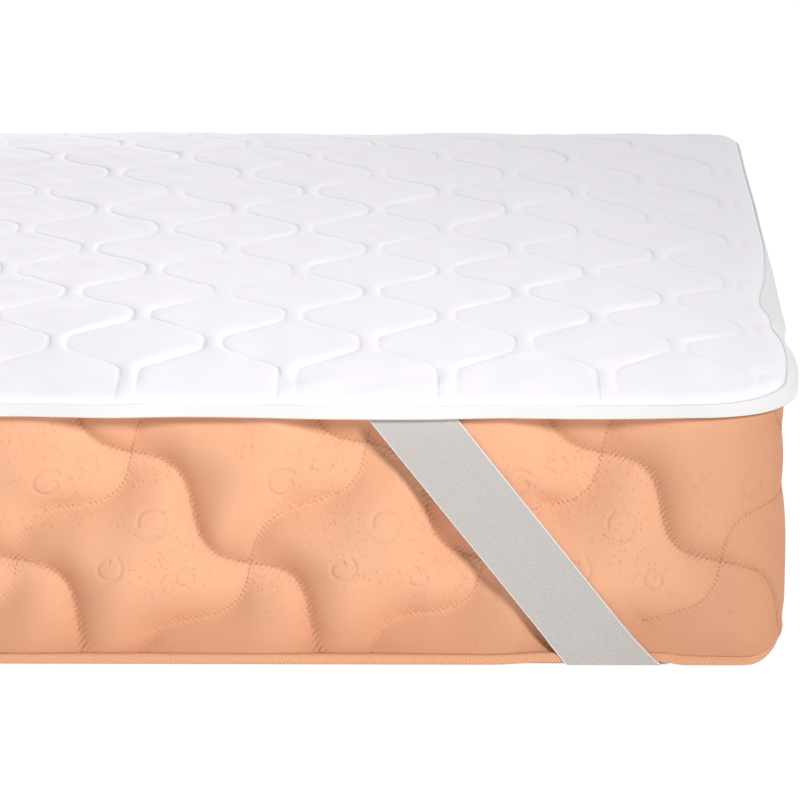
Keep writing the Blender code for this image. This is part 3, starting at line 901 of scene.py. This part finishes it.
@dataclass
class Binding:
    """Folded tape round the edge of the pad."""

    top: float = 0.1975
    bottom: float = 0.1875
    inner_top: float = 0.1914
    thickness: float = 0.0070
    leaf: float = 0.0009
    pad_inset: float = 0.0013
    fold_round: float = 0.0016
    bulge: float = 0.0007
    lip: float = 0.0006

    def section(self) -> Array:
        """Outline of the fold as (distance in from the outer face, height)."""
        outer = np.linspace(0.0, 1.0, 9)
        height = self.top + (self.bottom + self.fold_round - self.top) * outer
        bulge = self.bulge * np.sin(math.pi * outer ** 0.8)
        face = np.column_stack((self.lip * np.exp(-outer * 9.0) - bulge * 0.6, height))
        turn = np.radians([20.0, 50.0, 80.0])
        low = np.column_stack((self.fold_round * (1 - np.cos(turn)),
                               self.bottom + self.fold_round * (1 - np.sin(turn))))
        far = low[::-1] * (-1.0, 1.0) + (self.thickness, 0.0)
        inner = np.array([(self.thickness, self.bottom + self.fold_round),
                          (self.thickness, self.inner_top),
                          (self.thickness - self.leaf, self.inner_top),
                          (self.thickness - self.leaf, self.bottom + self.leaf),
                          (self.leaf, self.bottom + self.leaf), (self.leaf, self.top)])
        return np.concatenate((face, low, far, inner))

    def build(self, edge: Array, outward: Array, shape: TopperShape) -> bpy.types.Object:
        """Sweep the fold once round the pad."""
        section = self.section()
        count = len(edge)
        rings = []
        for depth, height in section:
            plan = edge + outward * (self.pad_inset - depth)
            rings.append(shape.drape(np.column_stack((plan, np.full(count, height)))))
        loops = np.stack(rings, axis=1)
        points = loops.reshape(-1, 3)
        size = len(section)
        station = np.arange(count)[:, None] * size
        nxt = (np.arange(count)[:, None] + 1) % count * size
        k = np.arange(size)[None, :]
        k_nxt = (k + 1) % size
        corners = np.broadcast_arrays(station + k, station + k_nxt, nxt + k_nxt, nxt + k)
        quads = np.stack(corners, axis=-1)
        travel = distance_along(edge)
        uv = np.stack(np.broadcast_arrays(travel[:, None], section[None, :, 1]), axis=-1)
        return add_piece("folded_binding", points, [quads.reshape(-1, 4)], uv.reshape(-1, 2))


# Straps

# Columns: corner, its side in X and in Y, reach of the end half out to the leaning edge
CORNERS = (
    ("front_right", 1.0, -1.0, 0.0018),
    ("front_left", -1.0, -1.0, 0.0038),
    ("back_right", 1.0, 1.0, 0.0110),
    ("back_left", -1.0, 1.0, 0.0038),
)


@dataclass
class Strap:
    """Elastic strap from one edge of the topper, under a mattress corner, to the next edge."""

    corner: str
    side_x: float
    side_y: float
    reach: float
    width: float = 0.050
    thickness: float = 0.0011
    solid_thickness: float = 0.0012
    gap: float = 0.0004
    bend: float = 0.0040
    floor: float = 0.0004
    side_slope: float = 0.778
    under_slope: float = 1.0
    slope_from: float = 0.030
    slope_over: float = 0.050
    reach_from: float = 0.120
    reach_over: float = 0.070
    corner_distance: float = 0.1236
    top: float = 0.1900
    mattress_half_x: float = 1.0
    mattress_half_y: float = 0.45
    # Places across the strap, closer at the selvages
    across: tuple[float, ...] = (-1.0, -0.985, -0.95, -0.8, -0.6, -0.4, -0.2, 0.0,
                                 0.2, 0.4, 0.6, 0.8, 0.95, 0.985, 1.0)

    def profile(self, travel: Array, thickness: float) -> tuple[Array, Array]:
        """Distance in from the side face and height for a travel along the inner face."""
        quarter = self.bend * math.pi / 4
        radius = self.bend + thickness
        turn = np.clip((quarter - travel) / self.bend, 0.0, math.pi / 2)
        depth = self.bend - self.gap - radius * np.cos(turn) + np.clip(-travel - quarter, 0.0, None)
        height = (self.floor + self.solid_thickness + self.bend - radius * np.sin(turn)
                  + np.clip(travel - quarter, 0.0, None))
        return depth, height

    def half(self, reach: float, across: Array, thickness: float) -> Array:
        """Half the strap: rows along it, one point for each place across."""
        quarter = self.bend * math.pi / 4
        travel = np.concatenate((np.linspace(self.top, 0.012, 34), np.linspace(0.009, quarter, 3),
                                 np.linspace(quarter, -quarter, 8)[1:],
                                 np.linspace(-0.006, -0.034, 7)))
        fine = np.linspace(travel[0], travel[-1], 1200)
        turned = smoothstep((self.slope_from - fine) / self.slope_over)
        slope_fine = self.side_slope + (self.under_slope - self.side_slope) * turned
        steps = np.diff(fine) * (slope_fine[1:] + slope_fine[:-1]) / 2
        along_fine = np.concatenate(([0.0], np.cumsum(steps)))
        zero = np.interp(0.0, fine[::-1], along_fine[::-1])
        along = np.interp(travel, fine[::-1], along_fine[::-1]) - zero + self.corner_distance
        slope = np.interp(travel, fine[::-1], slope_fine[::-1])
        half_cut = self.width / 2 * np.hypot(1.0, slope)
        depth, height = self.profile(travel, thickness)
        out = reach * smoothstep((travel - self.reach_from) / self.reach_over)
        near_far = along[:, None] + half_cut[:, None] * across[None, :]
        depth_all = np.broadcast_to((depth - out)[:, None], near_far.shape)
        height_all = np.broadcast_to(height[:, None], near_far.shape)
        return np.stack((near_far, depth_all, height_all), axis=-1)

    def sheet(self, across: Array, thickness: float) -> Array:
        """One face of the whole strap as a grid in world coordinates."""
        long_side = self.half(0.0, across, thickness)
        short_side = self.half(self.reach, across, thickness)[..., [1, 0, 2]]
        last = long_side[-1]
        total = (last[:, 0] + last[:, 1]) / 2
        middle = np.column_stack((total, total, last[:, 2]))[None]
        local = np.concatenate((long_side, middle, short_side[::-1]))
        x = self.side_x * (self.mattress_half_x - local[..., 0])
        y = self.side_y * (self.mattress_half_y - local[..., 1])
        return np.stack((x, y, local[..., 2]), axis=-1)

    def build(self, material: bpy.types.Material) -> bpy.types.Object:
        """A thin closed sheet."""
        across = np.array(self.across)
        inner = self.sheet(across, 0.0)
        outer = self.sheet(across, self.thickness)
        rows, columns = inner.shape[:2]
        points = np.concatenate((inner.reshape(-1, 3), outer.reshape(-1, 3)))
        count = rows * columns
        rim = once_round(np.arange(count).reshape(rows, columns))
        nxt = np.roll(rim, -1)
        faces = [grid_quads(rows, columns)[:, ::-1], grid_quads(rows, columns, count),
                 np.column_stack((rim, nxt, nxt + count, rim + count))]
        centre = inner[:, columns // 2]
        travel = distance_along(centre)
        uv = np.stack(np.broadcast_arrays(across[None] * self.width / 2, travel[:, None]), axis=-1)
        uv = np.tile(uv.reshape(-1, 2), (2, 1))
        item = add_piece("elastic_" + self.corner, points, faces, uv)
        dress(item, material, ("corner_strap_" + self.corner,))
        return item


# Mattress

@dataclass
class MattressShape:
    """Outline, border quilting and bottom tape of the mattress."""

    half_x: float = 1.0
    half_y: float = 0.45
    zone: float = 0.0705
    round_x: float = 0.064
    bottom_radius: float = 0.035
    side_top: float = 0.182
    side_bottom: float = 0.01056
    half_diagonal: float = 0.0830
    node_x: float = 0.700
    node_z: float = 0.1610
    seam_wave: float = 0.0128
    seam_depth: float = 0.0180
    seam_soft: float = 0.0022
    puff_reach: float = 0.48
    puff_power: tuple[float, float, float] = (2.7, 2.1, 0.8)
    unevenness: float = 0.0006
    low_reach: float = 0.008
    low_share: float = 0.80
    low_depth: float = 0.0008
    strap_middle: float = 0.110
    strap_slope: float = 0.778
    strap_reach: float = 0.046
    strap_fade: float = 0.022
    strap_share: float = 0.55
    corner_share: float = 0.85
    corner_reach: float = 0.085
    swell: float = 0.0042
    swell_reach: float = 0.055
    edge_round: float = 0.010
    lift_round: float = 0.025
    lift_cut: float = 0.003
    settle_depth: float = 0.0018
    fine_step: float = 0.0022
    corner_step: float = 0.0050
    coarse_step: float = 0.0078
    seen_left: float = 0.40

    def corner_path(self) -> float:
        """Length of one corner zone along the border at mid height."""
        return 2.0 * (self.zone - self.round_x) + self.round_x * math.pi / 2

    def lengths(self) -> Array:
        """Straight lengths of the front, right, back and left side between the corner zones."""
        long_side = 2.0 * (self.half_x - self.zone)
        short_side = 2.0 * (self.half_y - self.zone)
        return np.array([long_side, short_side, long_side, short_side])

    def locate(self, travel: Array) -> dict[str, Array]:
        """Places on the outline for path lengths, which start at the front left corner zone.

        Each place has its point on the sharp rectangle before the corner zone, its heading, its
        share of the corner zone and its pattern coordinate s. That coordinate equals X at the
        anchor node and is stretched a little so that the pattern closes on itself.
        """
        straights, corner = self.lengths(), self.corner_path()
        starts = np.concatenate(([0.0], np.cumsum(straights + corner)))
        total = starts[-1]
        wrapped = np.mod(travel, total)
        side = np.clip(np.searchsorted(starts, wrapped, side="right") - 1, 0, 3)
        local = wrapped - starts[side]
        run = np.minimum(local, straights[side])
        turn = np.clip((local - straights[side]) / corner, 0.0, 1.0)
        heading = side * (math.pi / 2)
        first = np.array([(-self.half_x + self.zone, -self.half_y),
                          (self.half_x, -self.half_y + self.zone),
                          (self.half_x - self.zone, self.half_y),
                          (-self.half_x, self.half_y - self.zone)])[side]
        cell = 2.0 * self.half_diagonal
        stretch = round(total / cell) * cell / total
        anchor = self.node_x + self.half_x - self.zone
        return {"x": first[:, 0] + np.cos(heading) * run, "y": first[:, 1] + np.sin(heading) * run,
                "heading": heading, "turn": turn, "travel": travel, "stretch": np.array(stretch),
                "s": (travel - anchor) * stretch + self.node_x}

    def stations(self) -> dict[str, Array]:
        """Once round the outline, closer along the front right part and round the corners."""
        straights, corner = self.lengths(), self.corner_path()
        seen = self.seen_left + self.half_x
        # Columns: length, step
        stretches = ((seen, self.coarse_step), (straights[0] - seen, self.fine_step),
                     (corner, self.fine_step), (straights[1], self.coarse_step),
                     (corner, self.corner_step), (straights[2], self.coarse_step),
                     (corner, self.corner_step), (straights[3], self.coarse_step),
                     (corner, self.corner_step))
        travel, places = 0.0, []
        for length, step in stretches:
            places.append(travel + np.linspace(0.0, length, int(round(length / step)) + 1)[:-1])
            travel += length
        return self.locate(np.concatenate(places))

    def wander(self, s: Array) -> Array:
        """How far the quilting sags at each place along the border, eased between the nodes."""
        nodes = np.array([0.36, 0.45, 0.535, 0.616, 0.700, 0.780, 0.864, 0.947, 1.03])
        sag = np.array([0.0, 0.003, 0.0053, 0.0060, -0.0010, 0.002, 0.0047, -0.0010, 0.0])
        k = np.clip(np.searchsorted(nodes, s) - 1, 0, len(nodes) - 2)
        share = smoothstep((s - nodes[k]) / (nodes[k + 1] - nodes[k]))
        return sag[k] + (sag[k + 1] - sag[k]) * share

    def lattice(self, s: Array, z: Array) -> tuple[Array, Array, Array, Array]:
        """Signed distance from the nearest seam of each slanted family, and place along each one.

        The seams lie on a square lattice turned by 45 degrees. Each one swings to and fro as a
        full sine between two crossings: a = p - wave sin(2 pi q / d), b = q + wave sin(2 pi p / d).
        """
        d = self.half_diagonal * math.sqrt(2.0)
        up = z + self.wander(s) - self.node_z
        p = ((s - self.node_x) + up) / math.sqrt(2.0)
        q = ((s - self.node_x) - up) / math.sqrt(2.0)
        k = 2.0 * math.pi / d
        a = p - self.seam_wave * np.sin(k * q)
        b = q + self.seam_wave * np.sin(k * p)
        slope_a = np.hypot(1.0, self.seam_wave * k * np.cos(k * q))
        slope_b = np.hypot(1.0, self.seam_wave * k * np.cos(k * p))
        gap_a = (a - np.round(a / d) * d) / slope_a
        gap_b = (b - np.round(b / d) * d) / slope_b
        return gap_a, gap_b, q, p

    def near_corner(self, place: dict[str, Array]) -> Array:
        """Distance along the outline from the middle of the nearest corner."""
        corner = self.corner_path()
        ends = np.cumsum(self.lengths() + corner) - corner / 2
        total = float((self.lengths() + corner).sum())
        gap = np.abs(np.mod(place["travel"], total)[:, None] - ends[None, :])
        return np.minimum(gap, total - gap).min(axis=1)

    def sink(self, place: dict[str, Array], z: Array) -> Array:
        """How far the border lies in from the plane of its crests.

        A pillow between four seams: depth falls with the distance from both seam families,
        eases off towards the tape, under the straps and round the corners, where the border
        swells out instead.
        """
        s = place["s"]
        gap_a, gap_b, _, _ = self.lattice(s, z)
        reach = self.puff_reach * self.half_diagonal * math.sqrt(2.0)
        soft = self.seam_soft
        rise_a = np.clip((np.hypot(gap_a, soft) - soft) / reach, 0.0, 1.0)
        rise_b = np.clip((np.hypot(gap_b, soft) - soft) / reach, 0.0, 1.0)
        power_a, power_b, power = self.puff_power
        lofty = (1.0 - (1.0 - rise_a) ** power_a) * (1.0 - (1.0 - rise_b) ** power_b)
        depth = self.seam_depth * (1.0 - lofty ** power)
        depth = depth + self.unevenness * (1.0 + ripple(s, z, 0.045, 21))
        corner = self.near_corner(place)
        beside = np.abs(corner - (self.strap_middle + self.strap_slope * z))
        under = smoothstep((self.strap_reach - beside) / self.strap_fade)
        depth = depth * (1.0 - self.strap_share * under)
        low = np.exp(-np.clip(z - self.side_bottom, 0.0, None) / self.low_reach)
        depth = depth * (1.0 - self.low_share * low) + self.low_depth * low
        swell = np.interp(z, (0.011, 0.035, 0.080, 0.182), (0.45, 0.95, 0.85, 1.3))
        swell = self.swell * swell * bump_at(corner, 0.0, self.swell_reach)
        return depth * (1.0 - self.corner_share * bump_at(corner, 0.0, self.corner_reach)) - swell

    def corner_lift(self, place: dict[str, Array]) -> Array:
        """Lift of the bottom edge at the corners.

        It is a round arc along the sides and fades slowly along the ends.
        """
        x, y = self.plan(place, self.bottom_radius, np.zeros(len(place["s"])))
        reach = self.lift_round - (self.half_x - np.abs(x))
        reach = np.clip(reach, 0.0, self.lift_round - self.lift_cut)
        arc = self.lift_round - np.sqrt(self.lift_round ** 2 - reach ** 2)
        return arc * smoothstep((0.085 - (self.half_y - np.abs(y))) / 0.045)

    def settle(self, place: dict[str, Array]) -> Array:
        """How far the bottom edge settles down to the floor between the straps."""
        x, y = self.plan(place, self.bottom_radius, np.zeros(len(place["s"])))
        far = np.maximum(self.half_x - np.abs(x), self.half_y - np.abs(y))
        beyond, within = smoothstep((far - 0.172) / 0.040), smoothstep((0.086 - far) / 0.015)
        return self.settle_depth * (beyond + within)

    def plan(self, place: dict[str, Array], radius: Array, inset: Array) -> tuple[Array, Array]:
        """Outline with any corner radius below the zone's length, moved in along its normals."""
        spare = self.zone - radius
        path = place["turn"] * (2.0 * spare + radius * math.pi / 2)
        bend = np.clip((path - spare) / radius, 0.0, math.pi / 2)
        ahead = np.minimum(path, spare) + radius * np.sin(bend)
        beyond = np.clip(path - spare - radius * math.pi / 2, 0.0, None)
        aside = radius * (1.0 - np.cos(bend)) + beyond
        run_x, run_y = np.cos(place["heading"]), np.sin(place["heading"])
        normal = place["heading"] + bend - math.pi / 2
        x = place["x"] + run_x * ahead - run_y * aside - np.cos(normal) * inset
        y = place["y"] + run_y * ahead + run_x * aside - np.sin(normal) * inset
        return x, y

    def normals(self, place: dict[str, Array]) -> Array:
        """Outward directions at mid height."""
        spare = self.zone - self.round_x
        path = place["turn"] * self.corner_path()
        bend = np.clip((path - spare) / self.round_x, 0.0, math.pi / 2)
        angle = place["heading"] + bend - math.pi / 2
        return np.column_stack((np.cos(angle), np.sin(angle), np.zeros(len(angle))))


@dataclass
class Mattress:
    """Mattress with a quilted border, a plain top under the pad and a ribbed bottom tape."""

    shape: MattressShape = field(default_factory=MattressShape)
    # Heights between which the corner radius and the lift of the corners change
    levels: tuple[float, float, float] = (0.0108, 0.060, 0.182)
    radii: tuple[float, float, float] = (0.035, 0.042, 0.064)
    lifts: tuple[float, float, float] = (1.0, 0.1, 0.0)
    base_cut: float = 0.164
    base_inset: float = 0.008
    base_lift: float = 0.0020
    border_rings: int = 72
    edge_widening: float = 0.006
    crown_radius: float = 0.070
    # Painted shade beside the falling seams of the border
    painted_seam_shade: float = 0.58
    painted_seam_shade_reach: float = 0.020
    # Painted shade round the corners, where the border turns away from the light
    painted_corner_shade: float = 0.50
    painted_corner_shade_reach: float = 0.042
    thread: Stitches = Stitches(length=0.0022, pitch=0.0034, width=0.0007, height=0.0005)

    def radius(self, z: Array) -> Array:
        """Corner radius at a height: small at the bottom, larger at the top."""
        return np.interp(z, self.levels, self.radii)

    def level(self, station: dict[str, Array], z: float, inset: float, lift: float,
              quilted: bool) -> Array:
        """One ring of the border."""
        height = np.full(len(station["s"]), z)
        depth = inset + (self.shape.sink(station, height) if quilted else 0.0)
        x, y = self.shape.plan(station, self.radius(height), depth)
        height = z + lift * (self.shape.corner_lift(station) - self.shape.settle(station))
        return np.column_stack((x, y, np.maximum(height, 0.0)))

    def under_ring(self, station: dict[str, Array], inset: float, cut: float,
                   height: float) -> Array:
        """Ring of the base whose corners are cut off slantwise where the straps pass."""
        x, y = self.shape.plan(station, self.shape.bottom_radius,
                               np.full(len(station["s"]), inset))
        near_x = self.shape.half_x - np.abs(x)
        near_y = self.shape.half_y - np.abs(y)
        move = np.clip(cut - near_x - near_y, 0.0, None) / 2
        corner = (near_x + near_y < cut).astype(float)
        return np.column_stack((x - np.sign(x) * move, y - np.sign(y) * move, height * corner))

    def build(self) -> bpy.types.Object:
        """Rings from the base, round the tape's notch, up the border and over the top edge."""
        shape = self.shape
        station = shape.stations()
        count = len(station["s"])
        rings = [self.under_ring(station, 0.0100, 0.166, 0.0),
                 self.under_ring(station, 0.0092, self.base_cut, self.base_lift)]
        base = self.level(station, 0.0, self.base_inset, 1.0, False)
        near = (shape.half_x - np.abs(base[:, 0])) + (shape.half_y - np.abs(base[:, 1]))
        base[:, 2] += self.base_lift * (near < self.base_cut)
        rings.append(base)
        rings.append(self.level(station, shape.side_bottom, self.base_inset, 1.0, False))
        heights = np.concatenate((shape.side_bottom + np.array([0.0, 0.0012, 0.003, 0.0055]),
                                  np.linspace(0.0185, shape.side_top, self.border_rings)))
        for z in heights:
            lift = float(np.interp(z, self.levels, self.lifts))
            rings.append(self.level(station, float(z), 0.0, lift, True))
        sink = shape.sink(station, np.full(count, shape.side_top))
        for degrees in (20.0, 40.0, 60.0, 80.0, 90.0):
            turn = math.radians(degrees)
            share = 1.0 - degrees / 90.0
            x, y = shape.plan(station, shape.round_x + self.edge_widening * degrees / 90.0,
                              shape.edge_round * (1.0 - math.cos(turn)) + sink * share)
            height = shape.side_top + shape.edge_round * math.sin(turn)
            rings.append(np.column_stack((x, y, np.full(count, height))))
        crown = TopperShape()
        for inset in (0.050, 0.100, 0.200):
            x, y = shape.plan(station, self.crown_radius, np.full(count, min(inset, 0.060)))
            x = np.sign(x) * np.minimum(np.abs(x), shape.half_x - inset)
            y = np.sign(y) * np.minimum(np.abs(y), shape.half_y - inset)
            height = float(crown.crown(np.array(inset)))
            rings.append(np.column_stack((x, y, np.full(count, height))))
        points = np.concatenate(rings)
        faces = [grid_quads(len(rings), count, close_columns=True)]
        faces.append(np.arange(count)[None, ::-1])
        last = (len(rings) - 1) * count
        faces.append(np.arange(last, last + count)[None, :])
        s = np.tile(station["s"], len(rings))
        gap_a, gap_b, along_a, along_b = shape.lattice(s, points[:, 2])
        # Painted shade on the upper side of each falling seam, standing in for the shade of its
        # crease
        fade = np.exp(-(np.abs(gap_a) / self.painted_seam_shade_reach) ** 1.5)
        shade = self.painted_seam_shade * smoothstep(gap_a / 0.003 + 0.5) * fade
        # Painted shade round each corner, where the border turns away from the light
        corner = np.tile(shape.near_corner(station), len(rings))
        turned = self.painted_corner_shade * bump_at(corner, 0.0, self.painted_corner_shade_reach)
        values = {"away_a": np.abs(gap_a), "away_b": np.abs(gap_b), "along_a": along_a,
                  "along_b": along_b, "shade": np.maximum(shade, turned),
                  "run": (s - shape.node_x) / (2.0 * shape.half_diagonal)}
        return add_piece("quilted_mattress", points, faces, values=values)

    def stitches(self) -> bpy.types.Object:
        """Stitches along every seam of the border, all round the mattress."""
        shape = self.shape
        total = float((shape.lengths() + shape.corner_path()).sum())
        d = shape.half_diagonal * math.sqrt(2.0)
        wave = 2.0 * math.pi / d
        stretch = float(shape.locate(np.zeros(1))["stretch"])
        anchor = shape.node_x + shape.half_x - shape.zone
        cells = int(round(total * stretch / (2.0 * shape.half_diagonal)))
        run = np.linspace(-1.6 * d, 1.6 * d, 500)
        start = float(shape.locate(np.zeros(1))["s"][0])
        parts = []
        for cell in range(cells):
            for falling in (True, False):
                if falling:
                    p, q = shape.seam_wave * np.sin(wave * run), run
                else:
                    p, q = run, -shape.seam_wave * np.sin(wave * run)
                s = shape.node_x + cell * 2.0 * shape.half_diagonal + (p + q) / math.sqrt(2.0)
                s = start + np.mod(s - start, total * stretch)
                z = shape.node_z + (p - q) / math.sqrt(2.0) - shape.wander(s)
                kept = (z > shape.side_bottom + 0.001) & (z < shape.side_top - 0.001)
                s, z = s[kept], z[kept]
                place = shape.locate((s - shape.node_x) / stretch + anchor)
                place["s"] = s
                x, y = shape.plan(place, self.radius(z), shape.sink(place, z) - 0.0003)
                line = np.column_stack((x, y, z))
                part = self.thread.along(line, shape.normals(place), 0.3)
                if part is not None:
                    parts.append(part)
        points, faces = joined(parts)
        return add_piece("border_stitches", points, [faces])


@dataclass
class Tape:
    """Corded tape sewn round the bottom edge of the mattress."""

    height: float = 0.0083
    depth: float = 0.0077
    lip: float = 0.0008
    bottom: float = 0.0022
    round: float = 0.0036

    def build(self, shape: MattressShape) -> bpy.types.Object:
        """Sweep the section once round, lifted with the corners."""
        station = shape.stations()
        count = len(station["s"])
        top = self.bottom + self.height
        middle = self.bottom + self.round
        section = [(self.lip, top), (0.0, top - 0.0010), (-0.0003, top - 0.0040), (0.0, middle)]
        for degrees in (30.0, 60.0, 90.0):
            turn = math.radians(degrees)
            section.append((self.round * (1 - math.cos(turn)),
                            middle - self.round * math.sin(turn)))
        section += [(self.depth, self.bottom), (self.depth, top)]
        rings, across = [], []
        for inset, height in section:
            x, y = shape.plan(station, shape.bottom_radius, np.full(count, inset))
            low = height + shape.corner_lift(station) - shape.settle(station)
            rings.append(np.column_stack((x, y, low)))
            across.append(np.full(count, height + inset))
        faces = [grid_quads(len(rings), count, close_columns=True),
                 ring_quads((len(rings) - 1) * count, 0, count)]
        uv = np.column_stack((np.tile(station["s"], len(rings)), np.concatenate(across)))
        return add_piece("corded_tape", np.concatenate(rings), faces, uv)


# Light, floor and camera

@dataclass
class Studio:
    """White floor, soft light and the camera of the photo."""

    location: tuple[float, float, float] = (0.7434, -3.1659, 0.9581)
    pitch: float = 15.618
    yaw: float = -0.417
    focal_pixels: float = 4000.0
    picture_pixels: float = 800.0
    sensor: float = 36.0
    sky: float = 0.09
    floor_half: float = 60.0

    def build(self) -> None:
        """Add everything that isn't part of the object."""
        scene = bpy.context.scene
        mesh = bpy.data.meshes.new("floor")
        half = self.floor_half
        mesh.from_pydata([(-half, -half, 0.0), (half, -half, 0.0), (half, half, 0.0),
                          (-half, half, 0.0)], [], [(0, 1, 2, 3)])
        floor = bpy.data.objects.new("floor", mesh)
        mesh.materials.append(PaleFloor().build())
        scene.collection.objects.link(floor)
        self.spot("key", (1.90, -2.84, 1.60), (0.52, -0.42, 0.12), 0.34, 30.0, 346.0)
        self.area("top", (1.4, 0.4, 3.2), (1.0, 0.1, 0.2), 2.5, 67.0)
        self.area("side", (2.1, 1.6, 1.1), (1.0, 0.0, 0.2), 0.7, 7.0)
        self.area("far", (-1.2, 0.1, 2.4), (-1.2, 0.1, 0.2), 0.9, 3.6, 50.0)
        self.area("back", (-0.2, 3.5, 0.6), (-0.2, 0.4, 0.1), 1.2, 6.0, 50.0)
        world = bpy.data.worlds.new("studio")
        world.use_nodes = True
        background = world.node_tree.nodes["Background"]
        background.inputs["Color"].default_value = WHITE
        background.inputs["Strength"].default_value = self.sky
        scene.world = world
        camera_data = bpy.data.cameras.new("camera")
        camera_data.sensor_fit = "HORIZONTAL"
        camera_data.sensor_width = self.sensor
        camera_data.lens = self.focal_pixels * self.sensor / self.picture_pixels
        camera_data.clip_end = 200.0
        camera = bpy.data.objects.new("camera", camera_data)
        camera.location = self.location
        camera.rotation_euler = (math.radians(90.0 - self.pitch), 0.0, -math.radians(self.yaw))
        scene.collection.objects.link(camera)
        scene.camera = camera
        scene.view_settings.view_transform = "Standard"
        scene.view_settings.look = "None"

    def lamp(self, data: bpy.types.Light, place: tuple[float, float, float],
             target: tuple[float, float, float]) -> None:
        """Add a light that looks at a target."""
        lamp = bpy.data.objects.new(data.name, data)
        lamp.location = place
        away = np.array(place) - np.array(target)
        flat = math.hypot(away[0], away[1])
        lamp.rotation_euler = (math.atan2(flat, away[2]), 0.0, math.atan2(away[0], -away[1]))
        bpy.context.scene.collection.objects.link(lamp)

    def area(self, name: str, place: tuple[float, float, float],
             target: tuple[float, float, float], size: float, power: float,
             spread: float = 180.0) -> None:
        """A square soft light whose beam can be narrowed."""
        data = bpy.data.lights.new(name, "AREA")
        data.shape = "SQUARE"
        data.size = size
        data.spread = math.radians(spread)
        data.energy = power
        self.lamp(data, place, target)

    def spot(self, name: str, place: tuple[float, float, float],
             target: tuple[float, float, float], size: float, angle: float, power: float) -> None:
        """A soft light that fades towards the rim of its cone."""
        data = bpy.data.lights.new(name, "SPOT")
        data.shadow_soft_size = size
        data.spot_size = math.radians(angle)
        data.spot_blend = 1.0
        data.energy = power
        self.lamp(data, place, target)


def main() -> None:
    """Dress the frame and set the scene."""
    pad = Pad()
    flat = pad.grid()
    top = pad.surface(*flat)
    cloth = QuiltedCloth().build()
    body = dress(pad.build(flat, top), cloth, ("topper_pad",))
    thread = PlainCloth("white_thread", (0.87, 0.84, 0.89)).build()
    dress(pad.stitches(), thread)
    _, edge, outward = pad.stations(flat, top)
    binding = Binding().build(edge, outward, pad.shape)
    dress(binding, BindingCloth().build(), ("edge_binding",))
    elastic = Elastic().build()
    for corner, side_x, side_y, reach in CORNERS:
        Strap(corner, side_x, side_y, reach).build(elastic)
    mattress = Mattress()
    solid = dress(mattress.build(), Ticking().build(), ("mattress_body",))
    thread = PlainCloth("peach_thread", (0.58, 0.27, 0.15)).build()
    dress(mattress.stitches(), thread)
    dress(Tape().build(mattress.shape), CordedTape().build(), ("mattress_tape",))
    Studio().build()


if __name__ == "__main__":
    main()
